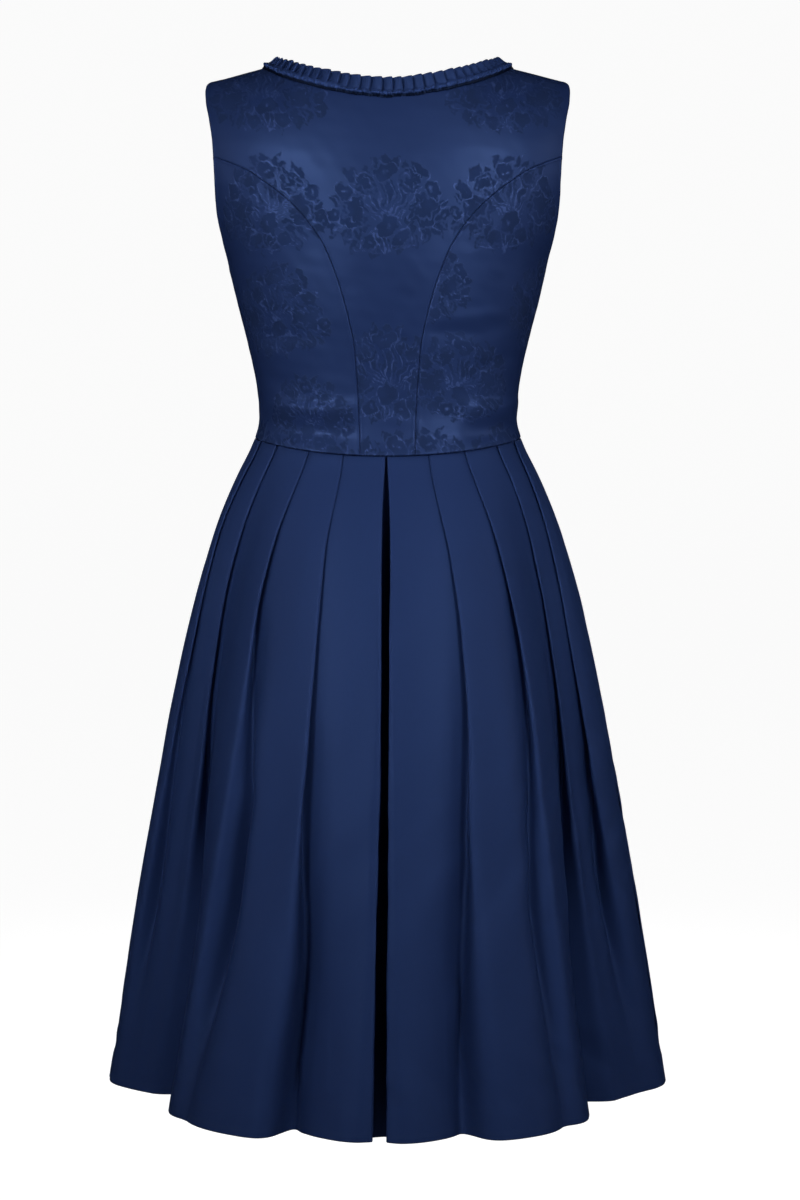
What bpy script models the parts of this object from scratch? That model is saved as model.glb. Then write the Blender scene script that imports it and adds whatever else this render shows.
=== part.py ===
"""A sleeveless dirndl dress as a hollow garment, filled out as it is when worn.

Metres, +Z up. The wearer faces +Y, so the back of the dress faces -Y and +X is
the wearer's right. The origin is the middle of the shoulder line, where the
wearer holds the dress up. The bodice panels are patches of one torso form; the
skirt is one length of cloth laid in knife pleats, worked out level by level so
that the cloth keeps its length from the waist to the hem.
"""
import math

import bpy
import numpy as np

# ---- driving sizes
PANEL_T = 0.0016        # bodice cloth, satin on its interlining
SKIRT_T = 0.0012        # skirt cloth
TRIM_T = 0.0030         # folded ribbon of the ruche
GAP = 0.0005            # between two pieces at a seam
NECK_X = 0.111          # neck edge on the shoulder line
SHOULDER_X = 0.1785     # armhole edge on the shoulder line
NECK_BACK_Z = -0.0105   # neck edge at the centre back
NECK_FRONT_Z = -0.131   # neck edge at the centre front
UNDERARM_Z = -0.190     # lowest point of the armhole
WAIST_Z = -0.3525       # waist seam at the side
WAIST_DIP = 0.0120      # how far the seam dips at the centre back
WAIST_DIP_FRONT = 0.0100
HEM_Z = -1.004
DOME_Z = -0.075         # above this the torso form closes over the shoulders
PLAN_POWER = 2.2        # squareness of a torso section
SEAM_CELLS = 12         # facets down a princess seam

# ---- torso form: a row for each height
#   height, half_width, back_depth, front_depth
TORSO = (
    (0.030, 0.1900, 0.0920, 0.0850),
    (-0.050, 0.1910, 0.1040, 0.0950),
    (-0.100, 0.1870, 0.1100, 0.1060),
    (-0.140, 0.1735, 0.1105, 0.1135),
    (-0.177, 0.1592, 0.1080, 0.1190),
    (-0.215, 0.1497, 0.1030, 0.1220),
    (-0.255, 0.1395, 0.0960, 0.1175),
    (-0.295, 0.1308, 0.0885, 0.1090),
    (-0.325, 0.1277, 0.0850, 0.1030),
    (-0.340, 0.1284, 0.0855, 0.1025),
    (-0.356, 0.1321, 0.0880, 0.1035),
    (-0.372, 0.1375, 0.0920, 0.1060),
)
BUST = dict(out=0.083, height=-0.215, rise=0.024, wide=0.045, tall=0.050)

# ---- edges and seams in elevation: height, distance from the middle
ARMHOLE_BACK = (
    (-0.0048, 0.1785), (-0.0217, 0.1778), (-0.0415, 0.1739), (-0.0609, 0.1709),
    (-0.0802, 0.1693), (-0.0994, 0.1684), (-0.1186, 0.1678), (-0.1378, 0.1659),
    (-0.1572, 0.1621),
)
ARMHOLE_FRONT = (
    (-0.0048, 0.1785), (-0.0200, 0.1738), (-0.0500, 0.1636), (-0.0800, 0.1556),
    (-0.1100, 0.1508), (-0.1350, 0.1490), (-0.1500, 0.1490),
)
PRINCESS_BACK = (
    (-0.0765, 0.1696), (-0.0800, 0.1590), (-0.0880, 0.1390), (-0.1000, 0.1195),
    (-0.1220, 0.0917), (-0.1400, 0.0755), (-0.1600, 0.0624), (-0.1850, 0.0515),
    (-0.2190, 0.0407), (-0.2500, 0.0336), (-0.3000, 0.0290), (-0.3645, 0.0266),
)
PRINCESS_FRONT = (
    (-0.1050, 0.1515), (-0.1120, 0.1410), (-0.1240, 0.1265), (-0.1450, 0.1110),
    (-0.1750, 0.0985), (-0.2150, 0.0895), (-0.2500, 0.0815), (-0.2900, 0.0690),
    (-0.3250, 0.0590), (-0.3625, 0.0545),
)

# ---- skirt: the fold edges of each quarter, from the middle outwards
#   angle at the waist in degrees, hem across, hem depth, cloth folded under
FOLDS_BACK_RIGHT = (
    (0.5, 0.0080, 0.2425, 0.030), (19.5, 0.1000, 0.2350, 0.033),
    (38.5, 0.1800, 0.1840, 0.033), (57.5, 0.2270, 0.0900, 0.035),
    (73.0, 0.2785, 0.0285, 0.0265),
)
FOLDS_BACK_LEFT = (
    (0.5, 0.0090, 0.2410, 0.030), (20.0, 0.1225, 0.2280, 0.035),
    (38.5, 0.2020, 0.1560, 0.033), (57.5, 0.2330, 0.0650, 0.035),
    (73.0, 0.2795, 0.0290, 0.018),
)
FOLDS_FRONT_RIGHT = (
    (0.5, 0.0080, 0.2440, 0.030), (20.5, 0.1060, 0.2330, 0.034),
    (39.0, 0.1850, 0.1800, 0.033), (58.0, 0.2330, 0.0950, 0.034),
    (73.0, 0.2785, 0.0300, 0.0265),
)
FOLDS_FRONT_LEFT = (
    (0.5, 0.0070, 0.2440, 0.030), (19.5, 0.0960, 0.2370, 0.033),
    (38.0, 0.1780, 0.1860, 0.034), (57.5, 0.2330, 0.0960, 0.034),
    (73.0, 0.2790, 0.0300, 0.0265),
)
WAIST_HALF_WIDTH, WAIST_BACK, WAIST_FRONT = 0.1306, 0.0866, 0.1022
LAYER = 0.0019          # from the middle of one layer of a pleat to the next
#   share of the way down, share of the flare reached there
FLARE = (
    (0.0, 0.0), (0.02, 0.037), (0.05, 0.102), (0.11, 0.214), (0.20, 0.341),
    (0.36, 0.511), (0.55, 0.672), (0.76, 0.831), (1.0, 1.0),
)
LEVELS = (0.0, 0.018, 0.055, 0.13, 0.26, 0.46, 0.71, 1.0)

COLOURS = {
    "bodice": (0.013, 0.024, 0.084),
    "skirt": (0.015, 0.030, 0.100),
    "trim": (0.010, 0.020, 0.072),
}


# ---------------------------------------------------------------- functions
def through(table, x, column=1):
    """The smooth curve through a table's rows, and straight on past its ends."""
    rows = sorted(table)
    xs = np.array([r[0] for r in rows], float)
    ys = np.array([r[column] for r in rows], float)
    x = np.asarray(x, float)
    h = np.diff(xs)
    d = np.diff(ys) / h
    m = np.empty_like(ys)
    m[1:-1] = (d[:-1] * h[1:] + d[1:] * h[:-1]) / (h[1:] + h[:-1])
    m[0], m[-1] = d[0], d[-1]
    i = np.clip(np.searchsorted(xs, x, side="right") - 1, 0, len(xs) - 2)
    w, t = h[i], (x - xs[i]) / h[i]
    k = np.clip(t, 0, 1)
    curve = (
        (1 + 2 * k) * (1 - k) ** 2 * ys[i] + k * (1 - k) ** 2 * w * m[i]
        + k * k * (3 - 2 * k) * ys[i + 1] + k * k * (k - 1) * w * m[i + 1]
    )
    return np.where((t < 0) | (t > 1), ys[i] + d[i] * (x - xs[i]), curve)


def ridge(x):
    """Height of the shoulder line, and of the neck that it runs up to inside the neck edge."""
    x = np.abs(x)
    return np.where(
        x < NECK_X, 0.071 - 8.2696 * x**2 + 287.8 * x**4, 0.0128 - 0.2615 * (x - NECK_X)
    )


def across_of(x, z):
    """The angle across a section, from -1 at one side seam to 1 at the other, of a point at x."""
    r = np.clip(np.abs(x) / through(TORSO, z), 0, 1)
    return np.sign(x) * np.arcsin(r ** (PLAN_POWER / 2)) * 2 / math.pi


def climb_of(x, z):
    """0 at DOME_Z, 1 on the shoulder line, and the height below DOME_Z in the dome's measure."""
    f = (z - DOME_Z) / (ridge(x) - DOME_Z)
    return np.where(f > 0, np.arcsin(np.clip(f, 0, 1)) * 2 / math.pi, (z - DOME_Z) / 0.12)


def torso(face, q, h, inset=0.0):
    """A point of the torso form; face is -1 on the back and 1 on the front."""
    q, h = np.broadcast_arrays(np.asarray(q, float), np.asarray(h, float))
    z = np.where(h < 0, DOME_Z + 0.12 * h, 0.0)
    for _ in range(12):
        w = through(TORSO, z) - inset
        x = w * np.sign(q) * np.abs(np.sin(q * math.pi / 2)) ** (2 / PLAN_POWER)
        rise = (ridge(x) - inset - DOME_Z) * np.sin(np.clip(h, 0, 1) * math.pi / 2)
        z = np.where(h < 0, DOME_Z + 0.12 * h, DOME_Z + rise)
    depth = through(TORSO, z, 2 if face < 0 else 3) - inset
    y = depth * np.abs(np.cos(q * math.pi / 2)) ** (2 / PLAN_POWER)
    y = y * np.cos(np.clip(h, 0, 1) * math.pi / 2)
    if face > 0:
        for side in (-1, 1):
            y = y + BUST["rise"] * np.exp(
                -((x - side * BUST["out"]) ** 2) / (2 * BUST["wide"] ** 2)
                - (z - BUST["height"]) ** 2 / (2 * BUST["tall"] ** 2)
            ) * np.abs(np.cos(q * math.pi / 2)) ** 0.5
    return np.stack([x, face * y, z], axis=-1)


def waist_z(face, x):
    dip = WAIST_DIP if face < 0 else WAIST_DIP_FRONT
    return WAIST_Z - dip * (1 - np.clip(np.abs(x) / WAIST_HALF_WIDTH, 0, 1) ** 2)


def even(points, count):
    """The line again with count points evenly along it."""
    points = np.asarray(points, float)
    run = np.concatenate([[0], np.cumsum(np.linalg.norm(np.diff(points, axis=0), axis=1))])
    at = np.linspace(0, run[-1], count)
    return np.stack([np.interp(at, run, points[:, k]) for k in range(points.shape[1])], axis=1)


def heights(table, low, high, steps=500):
    """A table's curve as (x, z) points from height high down to height low."""
    z = np.linspace(high, low, steps)
    return np.stack([through(table, z), z], axis=1)


def shifted(line, by):
    """An (x, z) line moved sideways by a seam's half gap; positive is away from the middle."""
    t = np.gradient(line, axis=0)
    t /= np.linalg.norm(t, axis=1)[:, None]
    return line + by * np.stack([-t[:, 1], t[:, 0]], axis=1)


def on_form(line):
    """(x, z) points in elevation as (across, climb) on the torso form."""
    return np.stack([across_of(line[:, 0], line[:, 1]), climb_of(line[:, 0], line[:, 1])], axis=1)


def edge(face, *runs):
    """An edge from runs of ((across, climb) line, cells), each with its cells of equal length on the form."""
    out = []
    for line, cells in runs:
        p = torso(face, line[:, 0], line[:, 1])
        run = np.concatenate([[0], np.cumsum(np.linalg.norm(np.diff(p, axis=0), axis=1))])
        at = np.linspace(0, run[-1], cells + 1)
        part = np.stack([np.interp(at, run, line[:, k]) for k in (0, 1)], axis=1)
        out += list(part if not out else part[1:])
    return np.array(out)


def patch(top, bottom, left, right):
    """The Coons patch between four edges, all as (across, climb)."""
    u = np.linspace(0, 1, len(top))[None, :, None]
    v = np.linspace(0, 1, len(left))[:, None, None]
    return (
        (1 - v) * top[None] + v * bottom[None] + (1 - u) * left[:, None] + u * right[:, None]
        - (1 - v) * (1 - u) * top[0] - (1 - v) * u * top[-1]
        - v * (1 - u) * bottom[0] - v * u * bottom[-1]
    )


# ------------------------------------------------------------ bodice panels
def neck_line(face, steps=200):
    """The neck edge of one half, from the middle out to the shoulder line, as (x, z)."""
    if face < 0:
        x = np.linspace(0, NECK_X, steps)
        rise = (x / NECK_X) ** 1.75
        return np.stack([x, NECK_BACK_Z + (0.0128 - NECK_BACK_Z) * rise], axis=1)
    t = np.linspace(0, math.pi / 2, steps)
    return np.stack(
        [NECK_X * np.sin(t) ** 0.95, 0.0128 + (NECK_FRONT_Z - 0.0128) * np.cos(t) ** 0.95], axis=1
    )


def shoulder_line(steps=40):
    """The shoulder line as (across, climb), from the neck edge to the armhole."""
    x = np.linspace(NECK_X, SHOULDER_X, steps)
    return np.stack([across_of(x, ridge(x)), np.full(steps, 0.9985)], axis=1)


def armhole(face):
    """The armhole edge as (across, climb), from the shoulder line to the side seam. Its lowest part turns level."""
    table = ARMHOLE_BACK if face < 0 else ARMHOLE_FRONT
    upper = on_form(heights(table, table[-1][0], table[0][0]))
    upper[0, 1] = 0.9985
    p0, p1 = upper[-1], np.array([1.0, climb_of(0.0, UNDERARM_Z)])
    d0 = upper[-1] - upper[-6]
    d0 = d0 / abs(d0[1]) * (p0[1] - p1[1]) * 1.6
    d1 = np.array([1.3 * (p1[0] - p0[0]), 0.0])
    t = np.linspace(0, 1, 60)[1:, None]
    lower = (
        (1 + 2 * t) * (1 - t) ** 2 * p0 + t * (1 - t) ** 2 * d0
        + t * t * (3 - 2 * t) * p1 + t * t * (t - 1) * d1
    )
    return np.vstack([upper, lower])


def cut(line, climb):
    """The parts of a line above and below a climb."""
    k = int(np.argmin(np.abs(line[:, 1] - climb)))
    return line[: k + 1], line[k:]


def princess(face, side):
    """The princess seam's stations of one half as (across, climb), moved a half gap to one side.

    Both panels take the same stations, closer together where the seam bends, so that their facets meet.
    """
    seam = PRINCESS_BACK if face < 0 else PRINCESS_FRONT
    line = heights(seam, waist_z(face, seam[-1][1]), seam[0][0], 2000)
    run = np.concatenate([[0], np.cumsum(np.linalg.norm(np.diff(line, axis=0), axis=1))])
    at = run[-1] * np.linspace(0, 1, SEAM_CELLS + 1) ** 1.35
    line = np.stack([np.interp(at, run, line[:, k]) for k in (0, 1)], axis=1)
    line = shifted(line, side * GAP / 2)
    if side > 0:
        line[0] += (line[1] - line[0]) * 0.005 / np.linalg.norm(line[1] - line[0])
    return on_form(line)


def waist_line(face, q0, q1, cells):
    """The panel's lower edge as (across, climb)."""
    q = np.linspace(q0, q1, cells + 1)
    w = float(through(TORSO, WAIST_Z))
    x = w * np.abs(np.sin(q * math.pi / 2)) ** (2 / PLAN_POWER)
    return np.stack([q, climb_of(x, waist_z(face, x))], axis=1)


def middle(face, inner, high, low):
    """The middle of the dress as (across, climb), between two heights."""
    z = np.linspace(high, low, 60)
    return np.stack([across_of(np.full(60, inner), z), climb_of(0.0, z)], axis=1)


def back_centre_half():
    """Half the centre back, from the middle out to the armhole and the princess seam."""
    seam = princess(-1, -1)
    start = seam[0, 1]
    arm, _ = cut(armhole(-1), start)
    arm[-1] = seam[0]
    neck = on_form(neck_line(-1))
    neck[-1, 1] = 0.9985
    low = waist_z(-1, 0.0)
    level = DOME_Z + 0.12 * start
    top = edge(-1, (neck, 7), (shoulder_line(), 4))
    across = np.linspace([0, start], seam[0], 12)
    yoke = patch(top, across, edge(-1, (middle(-1, 0.0, NECK_BACK_Z, level), 5)), edge(-1, (arm, 5)))
    left = edge(-1, (middle(-1, 0.0, level, low), SEAM_CELLS))
    body = patch(across, waist_line(-1, 0.0, seam[-1, 0], 11), left, seam)
    return np.concatenate([yoke, body[1:]], axis=0)


def front_centre_half():
    """One centre front: the strap between neck and armhole, then down between the middle and the princess seam."""
    seam = princess(1, -1)
    start = seam[0, 1]
    arm, _ = cut(armhole(1), start)
    arm[-1] = seam[0]
    line = neck_line(1)
    line = line[line[:, 0] > GAP]
    neck = on_form(line)[::-1]
    neck[0, 1] = 0.9985
    upper, lower = cut(neck, start)
    low = waist_z(1, 0.0)
    across = np.linspace(upper[-1], seam[0], 9)
    strap = patch(
        edge(1, (shoulder_line(), 8)), across, edge(1, (upper, 6)), edge(1, (arm, 6))
    )
    lower = np.vstack([lower, [across_of(GAP / 2, line[0, 1]), lower[-1, 1]]])
    left = edge(1, (lower, 4), (middle(1, GAP / 2, line[0, 1], low), SEAM_CELLS - 4))
    body = patch(across, waist_line(1, left[-1, 0], seam[-1, 0], 8), left, seam)
    return np.concatenate([strap, body[1:]], axis=0)


def side_panel(face):
    """A side panel, from the princess seam round to the side seam."""
    seam = princess(face, 1)
    _, arm = cut(armhole(face), seam[0, 1] - 0.010)
    q_side = 1 - GAP / 0.5
    arm = arm[arm[:, 0] < q_side]
    low = climb_of(0.0, waist_z(face, WAIST_HALF_WIDTH))
    side = np.stack([np.full(60, q_side), np.linspace(arm[-1, 1], float(low), 60)], axis=1)
    right = edge(face, (arm, 6), (side, SEAM_CELLS - 6))
    top = np.linspace(seam[0], right[0], 6)
    return patch(top, waist_line(face, seam[-1, 0], right[-1, 0], 5), seam, right)


# -------------------------------------------------------------------- skirt
def quarter(folds, front, right):
    """Fold edges of one quarter as (waist x, waist y, hem x, hem y, under)."""
    rows = []
    for angle, hem_x, hem_y, under in folds:
        a = math.radians(angle)
        sx, sy = (1 if right else -1), (1 if front else -1)
        depth = WAIST_FRONT if front else WAIST_BACK
        rows.append((
            sx * WAIST_HALF_WIDTH * math.sin(a), sy * depth * math.cos(a),
            sx * hem_x, sy * hem_y, under,
        ))
    return rows


def all_folds():
    """Fold edges in order round the skirt, from the centre back by the wearer's right."""
    br = quarter(FOLDS_BACK_RIGHT, False, True)
    fr = quarter(FOLDS_FRONT_RIGHT, True, True)
    fl = quarter(FOLDS_FRONT_LEFT, True, False)
    bl = quarter(FOLDS_BACK_LEFT, False, False)
    return br + fr[::-1] + fl + bl[::-1]


def ring(points, steps=40):
    """A closed smooth curve through points: its own points, and which of them are the given ones."""
    p = np.asarray(points, float)
    n = len(p)
    chord = np.linalg.norm(np.roll(p, -1, 0) - p, axis=1)
    before = np.roll(chord, 1)
    slope = (
        (p - np.roll(p, 1, 0)) / before[:, None] * chord[:, None]
        + (np.roll(p, -1, 0) - p) / chord[:, None] * before[:, None]
    ) / (chord + before)[:, None]
    out, at = [], []
    for i in range(n):
        j, h = (i + 1) % n, chord[i]
        t = np.linspace(0, 1, steps, endpoint=False)[:, None]
        at.append(len(out))
        out += list(
            (1 + 2 * t) * (1 - t) ** 2 * p[i] + t * (1 - t) ** 2 * h * slope[i]
            + t * t * (3 - 2 * t) * p[j] + t * t * (t - 1) * h * slope[j]
        )
    return np.array(out), at


class Ring:
    """Places given as (distance along the ring, distance out from it)."""

    def __init__(self, points):
        line, at = ring(points)
        closed = np.vstack([line, line[:1]])
        run = np.concatenate([[0], np.cumsum(np.linalg.norm(np.diff(closed, axis=0), axis=1))])
        self.run, self.closed, self.long = run, closed, run[-1]
        self.at = run[at]
        t = np.roll(line, -1, 0) - np.roll(line, 1, 0)
        for _ in range(6):  # the normals turn slowly past a narrow gap
            t = (np.roll(t, 1, 0) + 2 * t + np.roll(t, -1, 0)) / 4
        t /= np.linalg.norm(t, axis=1)[:, None]
        out = np.stack([t[:, 1], -t[:, 0]], axis=1)
        self.out = np.vstack([out, out[:1]])

    def place(self, along, out):
        s = np.mod(along, self.long)
        p = [np.interp(s, self.run, self.closed[:, k]) for k in (0, 1)]
        n = [np.interp(s, self.run, self.out[:, k]) for k in (0, 1)]
        n = np.array(n) / np.linalg.norm(n)
        return np.array(p) + out * n


def section(t, folds, waist_ring, layer):
    """One level of the skirt, as (along, out) corners in order round it. t is the share of the flare."""
    pts = [(a * (1 - t) + c * t, b * (1 - t) + d * t) for a, b, c, d, _ in folds]
    r = Ring(pts)
    n, round_off = len(folds), 0.0075 * t ** 1.2
    corners = []

    def knife(i_from, i_to, sign):
        """The cloth from fold edge i_from to i_to, whose edge lies over it. sign is 1 where the round runs that way."""
        under = folds[i_to][4]
        wide = abs(waist_ring.at[i_to] - waist_ring.at[i_from])
        room = abs(waist_ring.at[2 * i_to - i_from] - waist_ring.at[i_to]) - 0.0098
        under -= max(under - room, 0) * max(1 - t / 0.08, 0)  # at the seam it stops short of the next fold's cloth
        a0, a1 = r.at[i_from], r.at[i_to]
        c = abs(a1 - a0)
        panel, back = wide + under, under
        if c >= 0.995 * (panel + back):
            reach, h = c * panel / (panel + back), 1.5 * layer
        else:
            reach = min((panel**2 - back**2 + c * c) / (2 * c), panel)
            h = max(math.sqrt(max(panel**2 - reach**2, 0)), 2 * layer)
        is_open = min(max((h - 2 * layer) / 0.010, 0), 1)
        is_open = is_open * is_open * (3 - 2 * is_open)

        def on_panel(length, closed_depth):
            f = length / panel
            return (a0 + sign * reach * f, -h * f * is_open - closed_depth * (1 - is_open))

        valley = (a0 + sign * reach, -h)
        k_out = min(round_off, 0.3 * back)
        f_in = k_out / panel
        start = (a0 + sign * reach * f_in, -h * f_in)
        ret = np.array([a1, -layer]) - np.array([valley[0], -h + layer])
        ret_dir = ret / max(np.linalg.norm(ret), 1e-9)
        pan = np.array(valley) - np.array([a0, 0.0])
        pan_dir = pan / np.linalg.norm(pan)
        v_in = np.array(valley) - pan_dir * k_out
        v_out = np.array([valley[0], -h + layer]) + ret_dir * k_out
        r_in = np.array([a1, -layer]) - ret_dir * k_out
        mid = on_panel(0.42 * wide, 0.0)
        lead = on_panel(0.80 * wide, 0.0)
        dip = on_panel(wide - 0.0006, 2 * layer)
        slopes[i_from] = h * is_open / reach
        return [start, mid, lead, dip, tuple(v_in), tuple(v_out), tuple(r_in)]

    def box(i_left, i_right, count=1):
        """The inverted pleat between two fold edges that face each other."""
        under = 0.5 * (folds[i_left][4] + folds[i_right][4])
        a, b = r.at[i_left], r.at[i_right]
        if b < a - r.long / 2:
            b += r.long
        if a > b:
            a -= r.long
        m = (a + b) / 2
        clear = max(slopes[i_left], slopes[i_right]) * under + 2.6 * layer
        h = max(2 * layer + (0.0165 - 2 * layer) * t, clear)
        out = math.sqrt(under**2 - (h - 2 * layer) ** 2) + (b - a) / 2
        return [
            (a, -layer), (m - out, -h + layer), (m - out, -h), (m, -h), (m + out, -h),
            (m + out, -h + layer), (b, -layer),
        ]

    # Fold edges in the round: 0..4 back right, 5..9 front right (outermost first),
    # 10..14 front left, 15..19 back left (outermost first).
    slopes = {}
    parts = {
        "right_back": [knife(k, k + 1, 1) for k in range(4)],
        "right_front": [knife(k + 1, k, -1)[::-1] for k in range(5, 9)],
        "left_front": [knife(k, k + 1, 1) for k in range(10, 14)],
        "left_back": [knife(k + 1, k, -1)[::-1] for k in range(15, 19)],
        "right_side": [(r.at[4] + round_off * 0.5, 0.0), (r.at[5] - round_off * 0.5, 0.0)],
        "left_side": [(r.at[14] + round_off * 0.5, 0.0), (r.at[15] - round_off * 0.5, 0.0)],
    }
    parts["front_box"] = box(9, 10)
    parts["back_box"] = box(19, 0)
    return r, parts


SIDES = {4: "right_side", 14: "left_side"}


def skirt_sections(layer):
    """Each level's (x, y, z) points round the skirt, cut at the side seams into a front and a back."""
    folds = all_folds()
    waist_ring = Ring([(f[0], f[1]) for f in folds])
    backs, fronts = [], []
    for level in LEVELS:
        t = float(through(FLARE, level))
        r, parts = section(t, folds, waist_ring, layer)

        def seam(i, by):
            return ((r.at[i] + r.at[i + 1]) / 2 + by, 0.0)

        def side(i, end):
            """The side panel from its seam to the fold edge at that end, with a point between."""
            a, b = seam(i, GAP / 2 if end else -GAP / 2), parts[SIDES[i]][end]
            line = [a, ((a[0] + b[0]) / 2, 0.0), b]
            return line if end else line[::-1]

        def flat(name):
            return [c for corners in parts[name] for c in corners]

        back = side(14, 1) + flat("left_back") + parts["back_box"] + flat("right_back") + side(4, 0)
        front = side(4, 1) + flat("right_front") + parts["front_box"] + flat("left_front") + side(14, 0)
        for store, line in ((backs, back), (fronts, front)):
            row = []
            for along, out in line:
                x, y = r.place(along, out)
                top = waist_z(-1 if y < 0 else 1, x / (1 + t)) - 0.0009
                row.append((x, y, top + (HEM_Z - top) * level))
            store.append(row)
    return np.array(backs), np.array(fronts)


# ---------------------------------------------------------------- neck trim
def neck_stations(face, count):
    """Points of one half's neck edge on the form, with the way out of the cloth and the way down it."""
    line = edge(face, (on_form(neck_line(face)), count - 1))
    q, h = line[:, 0], np.minimum(line[:, 1], 0.985)
    here = torso(face, q, h)
    dq, dh = torso(face, q + 0.004, h) - torso(face, q - 0.004, h), torso(face, q, h + 0.01) - torso(face, q, h - 0.01)
    out = np.cross(dq, dh) * -face
    out /= np.linalg.norm(out, axis=1)[:, None]
    run = np.gradient(here, axis=0)
    run /= np.linalg.norm(run, axis=1)[:, None]
    down = np.cross(run, out)
    down *= np.sign(down[:, 2:3] * -1 + np.abs(here[:, 0:1]) * 0.2)
    return here, out, down


def trim_grid():
    """The ruche's inner face: along the neck edge from the centre front, by the right shoulder and back, to the centre front."""
    rows = []
    for face, count in ((-1, 11), (1, 14)):
        here, out, down = neck_stations(face, count)
        rows.append((here, out, down))
    half = [np.concatenate([rows[0][k], rows[1][k][::-1][1:]]) for k in range(3)]
    mirror = np.array([-1.0, 1.0, 1.0])
    whole = [np.concatenate([(half[k] * mirror)[::-1], half[k][1:]]) for k in range(3)]
    here, out, down = whole
    # soften the turn at the shoulder line
    for _ in range(3):
        for a in (out, down):
            a[1:-1] = (a[:-2] + 2 * a[1:-1] + a[2:]) / 4
            a /= np.linalg.norm(a, axis=1)[:, None]
    up = -down + np.array([0, 0, 0.5])
    up /= np.linalg.norm(up, axis=1)[:, None]
    lean = np.clip(1 - np.abs(here[:, 2] - 0.0128) / 0.012, 0, 1)[:, None]
    grid = np.stack([
        here + down * 0.0100 + out * 0.0010,
        here + down * 0.0030 + out * 0.0014,
        here + up * 0.0030 + out * 0.0014,
        here + up * (0.0085 + 0.0045 * lean) + out * 0.0006,
    ])
    grid[:, 0, 0] -= 0.0006
    grid[:, -1, 0] += 0.0006
    return grid


# ------------------------------------------------------------------ objects
def collection(name):
    c = bpy.data.collections.new(name)
    bpy.context.scene.collection.children.link(c)
    return c


def cloth(name, key, roughness):
    m = bpy.data.materials.new(name)
    m.use_nodes = True
    b = m.node_tree.nodes["Principled BSDF"]
    b.inputs["Base Color"].default_value = (*COLOURS[key], 1)
    b.inputs["Roughness"].default_value = roughness
    b.inputs["Metallic"].default_value = 0.0
    return m


def panel(name, grid, material, thickness, offset, holder, parent, outward):
    """A cloth panel: the grid as an open surface, made a wall by Solidify."""
    rows, cols = grid.shape[:2]
    faces = []
    for i in range(rows - 1):
        for j in range(cols - 1):
            a, b, c, d = i * cols + j, i * cols + j + 1, (i + 1) * cols + j + 1, (i + 1) * cols + j
            faces.append((a, d, c, b) if outward else (a, b, c, d))
    mesh = bpy.data.meshes.new(name)
    mesh.from_pydata([tuple(p) for p in grid.reshape(-1, 3)], [], faces)
    mesh.shade_smooth()
    mesh.materials.append(material)
    ob = bpy.data.objects.new(name, mesh)
    holder.objects.link(ob)
    ob.parent = parent
    wall = ob.modifiers.new("Cloth wall", "SOLIDIFY")
    wall.thickness = thickness
    wall.offset = offset
    wall.use_even_offset = True
    wall.thickness_clamp = 0.0
    return ob


def mirrored(grid):
    return grid[:, ::-1] * np.array([-1.0, 1.0, 1.0])


def main():
    for ob in list(bpy.data.objects):
        bpy.data.objects.remove(ob, do_unlink=True)
    dress = collection("Dirndl")
    wearer = bpy.data.objects.new("Wearer", None)
    dress.objects.link(wearer)

    # centre back: one piece across the middle
    half = torso(-1, *np.moveaxis(back_centre_half(), -1, 0), inset=PANEL_T)
    whole = np.concatenate([mirrored(half), half[:, 1:]], axis=1)
    panel("bodice_back", whole, cloth("Damask back", "bodice", 0.42), PANEL_T, 1.0, dress, wearer, True)
    side = torso(-1, *np.moveaxis(side_panel(-1), -1, 0), inset=PANEL_T)
    panel("bodice_side_back_right", side, cloth("Damask side back right", "bodice", 0.42), PANEL_T, 1.0, dress, wearer, True)
    panel("bodice_side_back_left", mirrored(side), cloth("Damask side back left", "bodice", 0.42), PANEL_T, 1.0, dress, wearer, True)

    half = torso(1, *np.moveaxis(front_centre_half(), -1, 0), inset=PANEL_T)
    panel("bodice_front_right", half, cloth("Damask front right", "bodice", 0.42), PANEL_T, 1.0, dress, wearer, False)
    panel("bodice_front_left", mirrored(half), cloth("Damask front left", "bodice", 0.42), PANEL_T, 1.0, dress, wearer, False)
    side = torso(1, *np.moveaxis(side_panel(1), -1, 0), inset=PANEL_T)
    panel("bodice_side_front_right", side, cloth("Damask side front right", "bodice", 0.42), PANEL_T, 1.0, dress, wearer, False)
    panel("bodice_side_front_left", mirrored(side), cloth("Damask side front left", "bodice", 0.42), PANEL_T, 1.0, dress, wearer, False)

    back, front = skirt_sections(LAYER)
    panel("skirt_back", back, cloth("Skirt satin back", "skirt", 0.55), SKIRT_T, 0.0, dress, wearer, True)
    panel("skirt_front", front, cloth("Skirt satin front", "skirt", 0.55), SKIRT_T, 0.0, dress, wearer, True)

    panel("neck_trim", trim_grid(), cloth("Ribbon ruche", "trim", 0.38), TRIM_T, 1.0, dress, wearer, False)


main()
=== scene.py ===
"""Looks of a sleeveless dirndl dress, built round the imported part's frame.

Every cloth piece is a thin shell on its solid's form. The torso form, the seam
lines and the pleat rule repeat the sizes of part.py, sampled finely; creases,
rolled seams, the damask figure and the ribbon ruche are worked out here.
Metres, +Z up; the back of the dress faces -Y.
"""
import math

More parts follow.
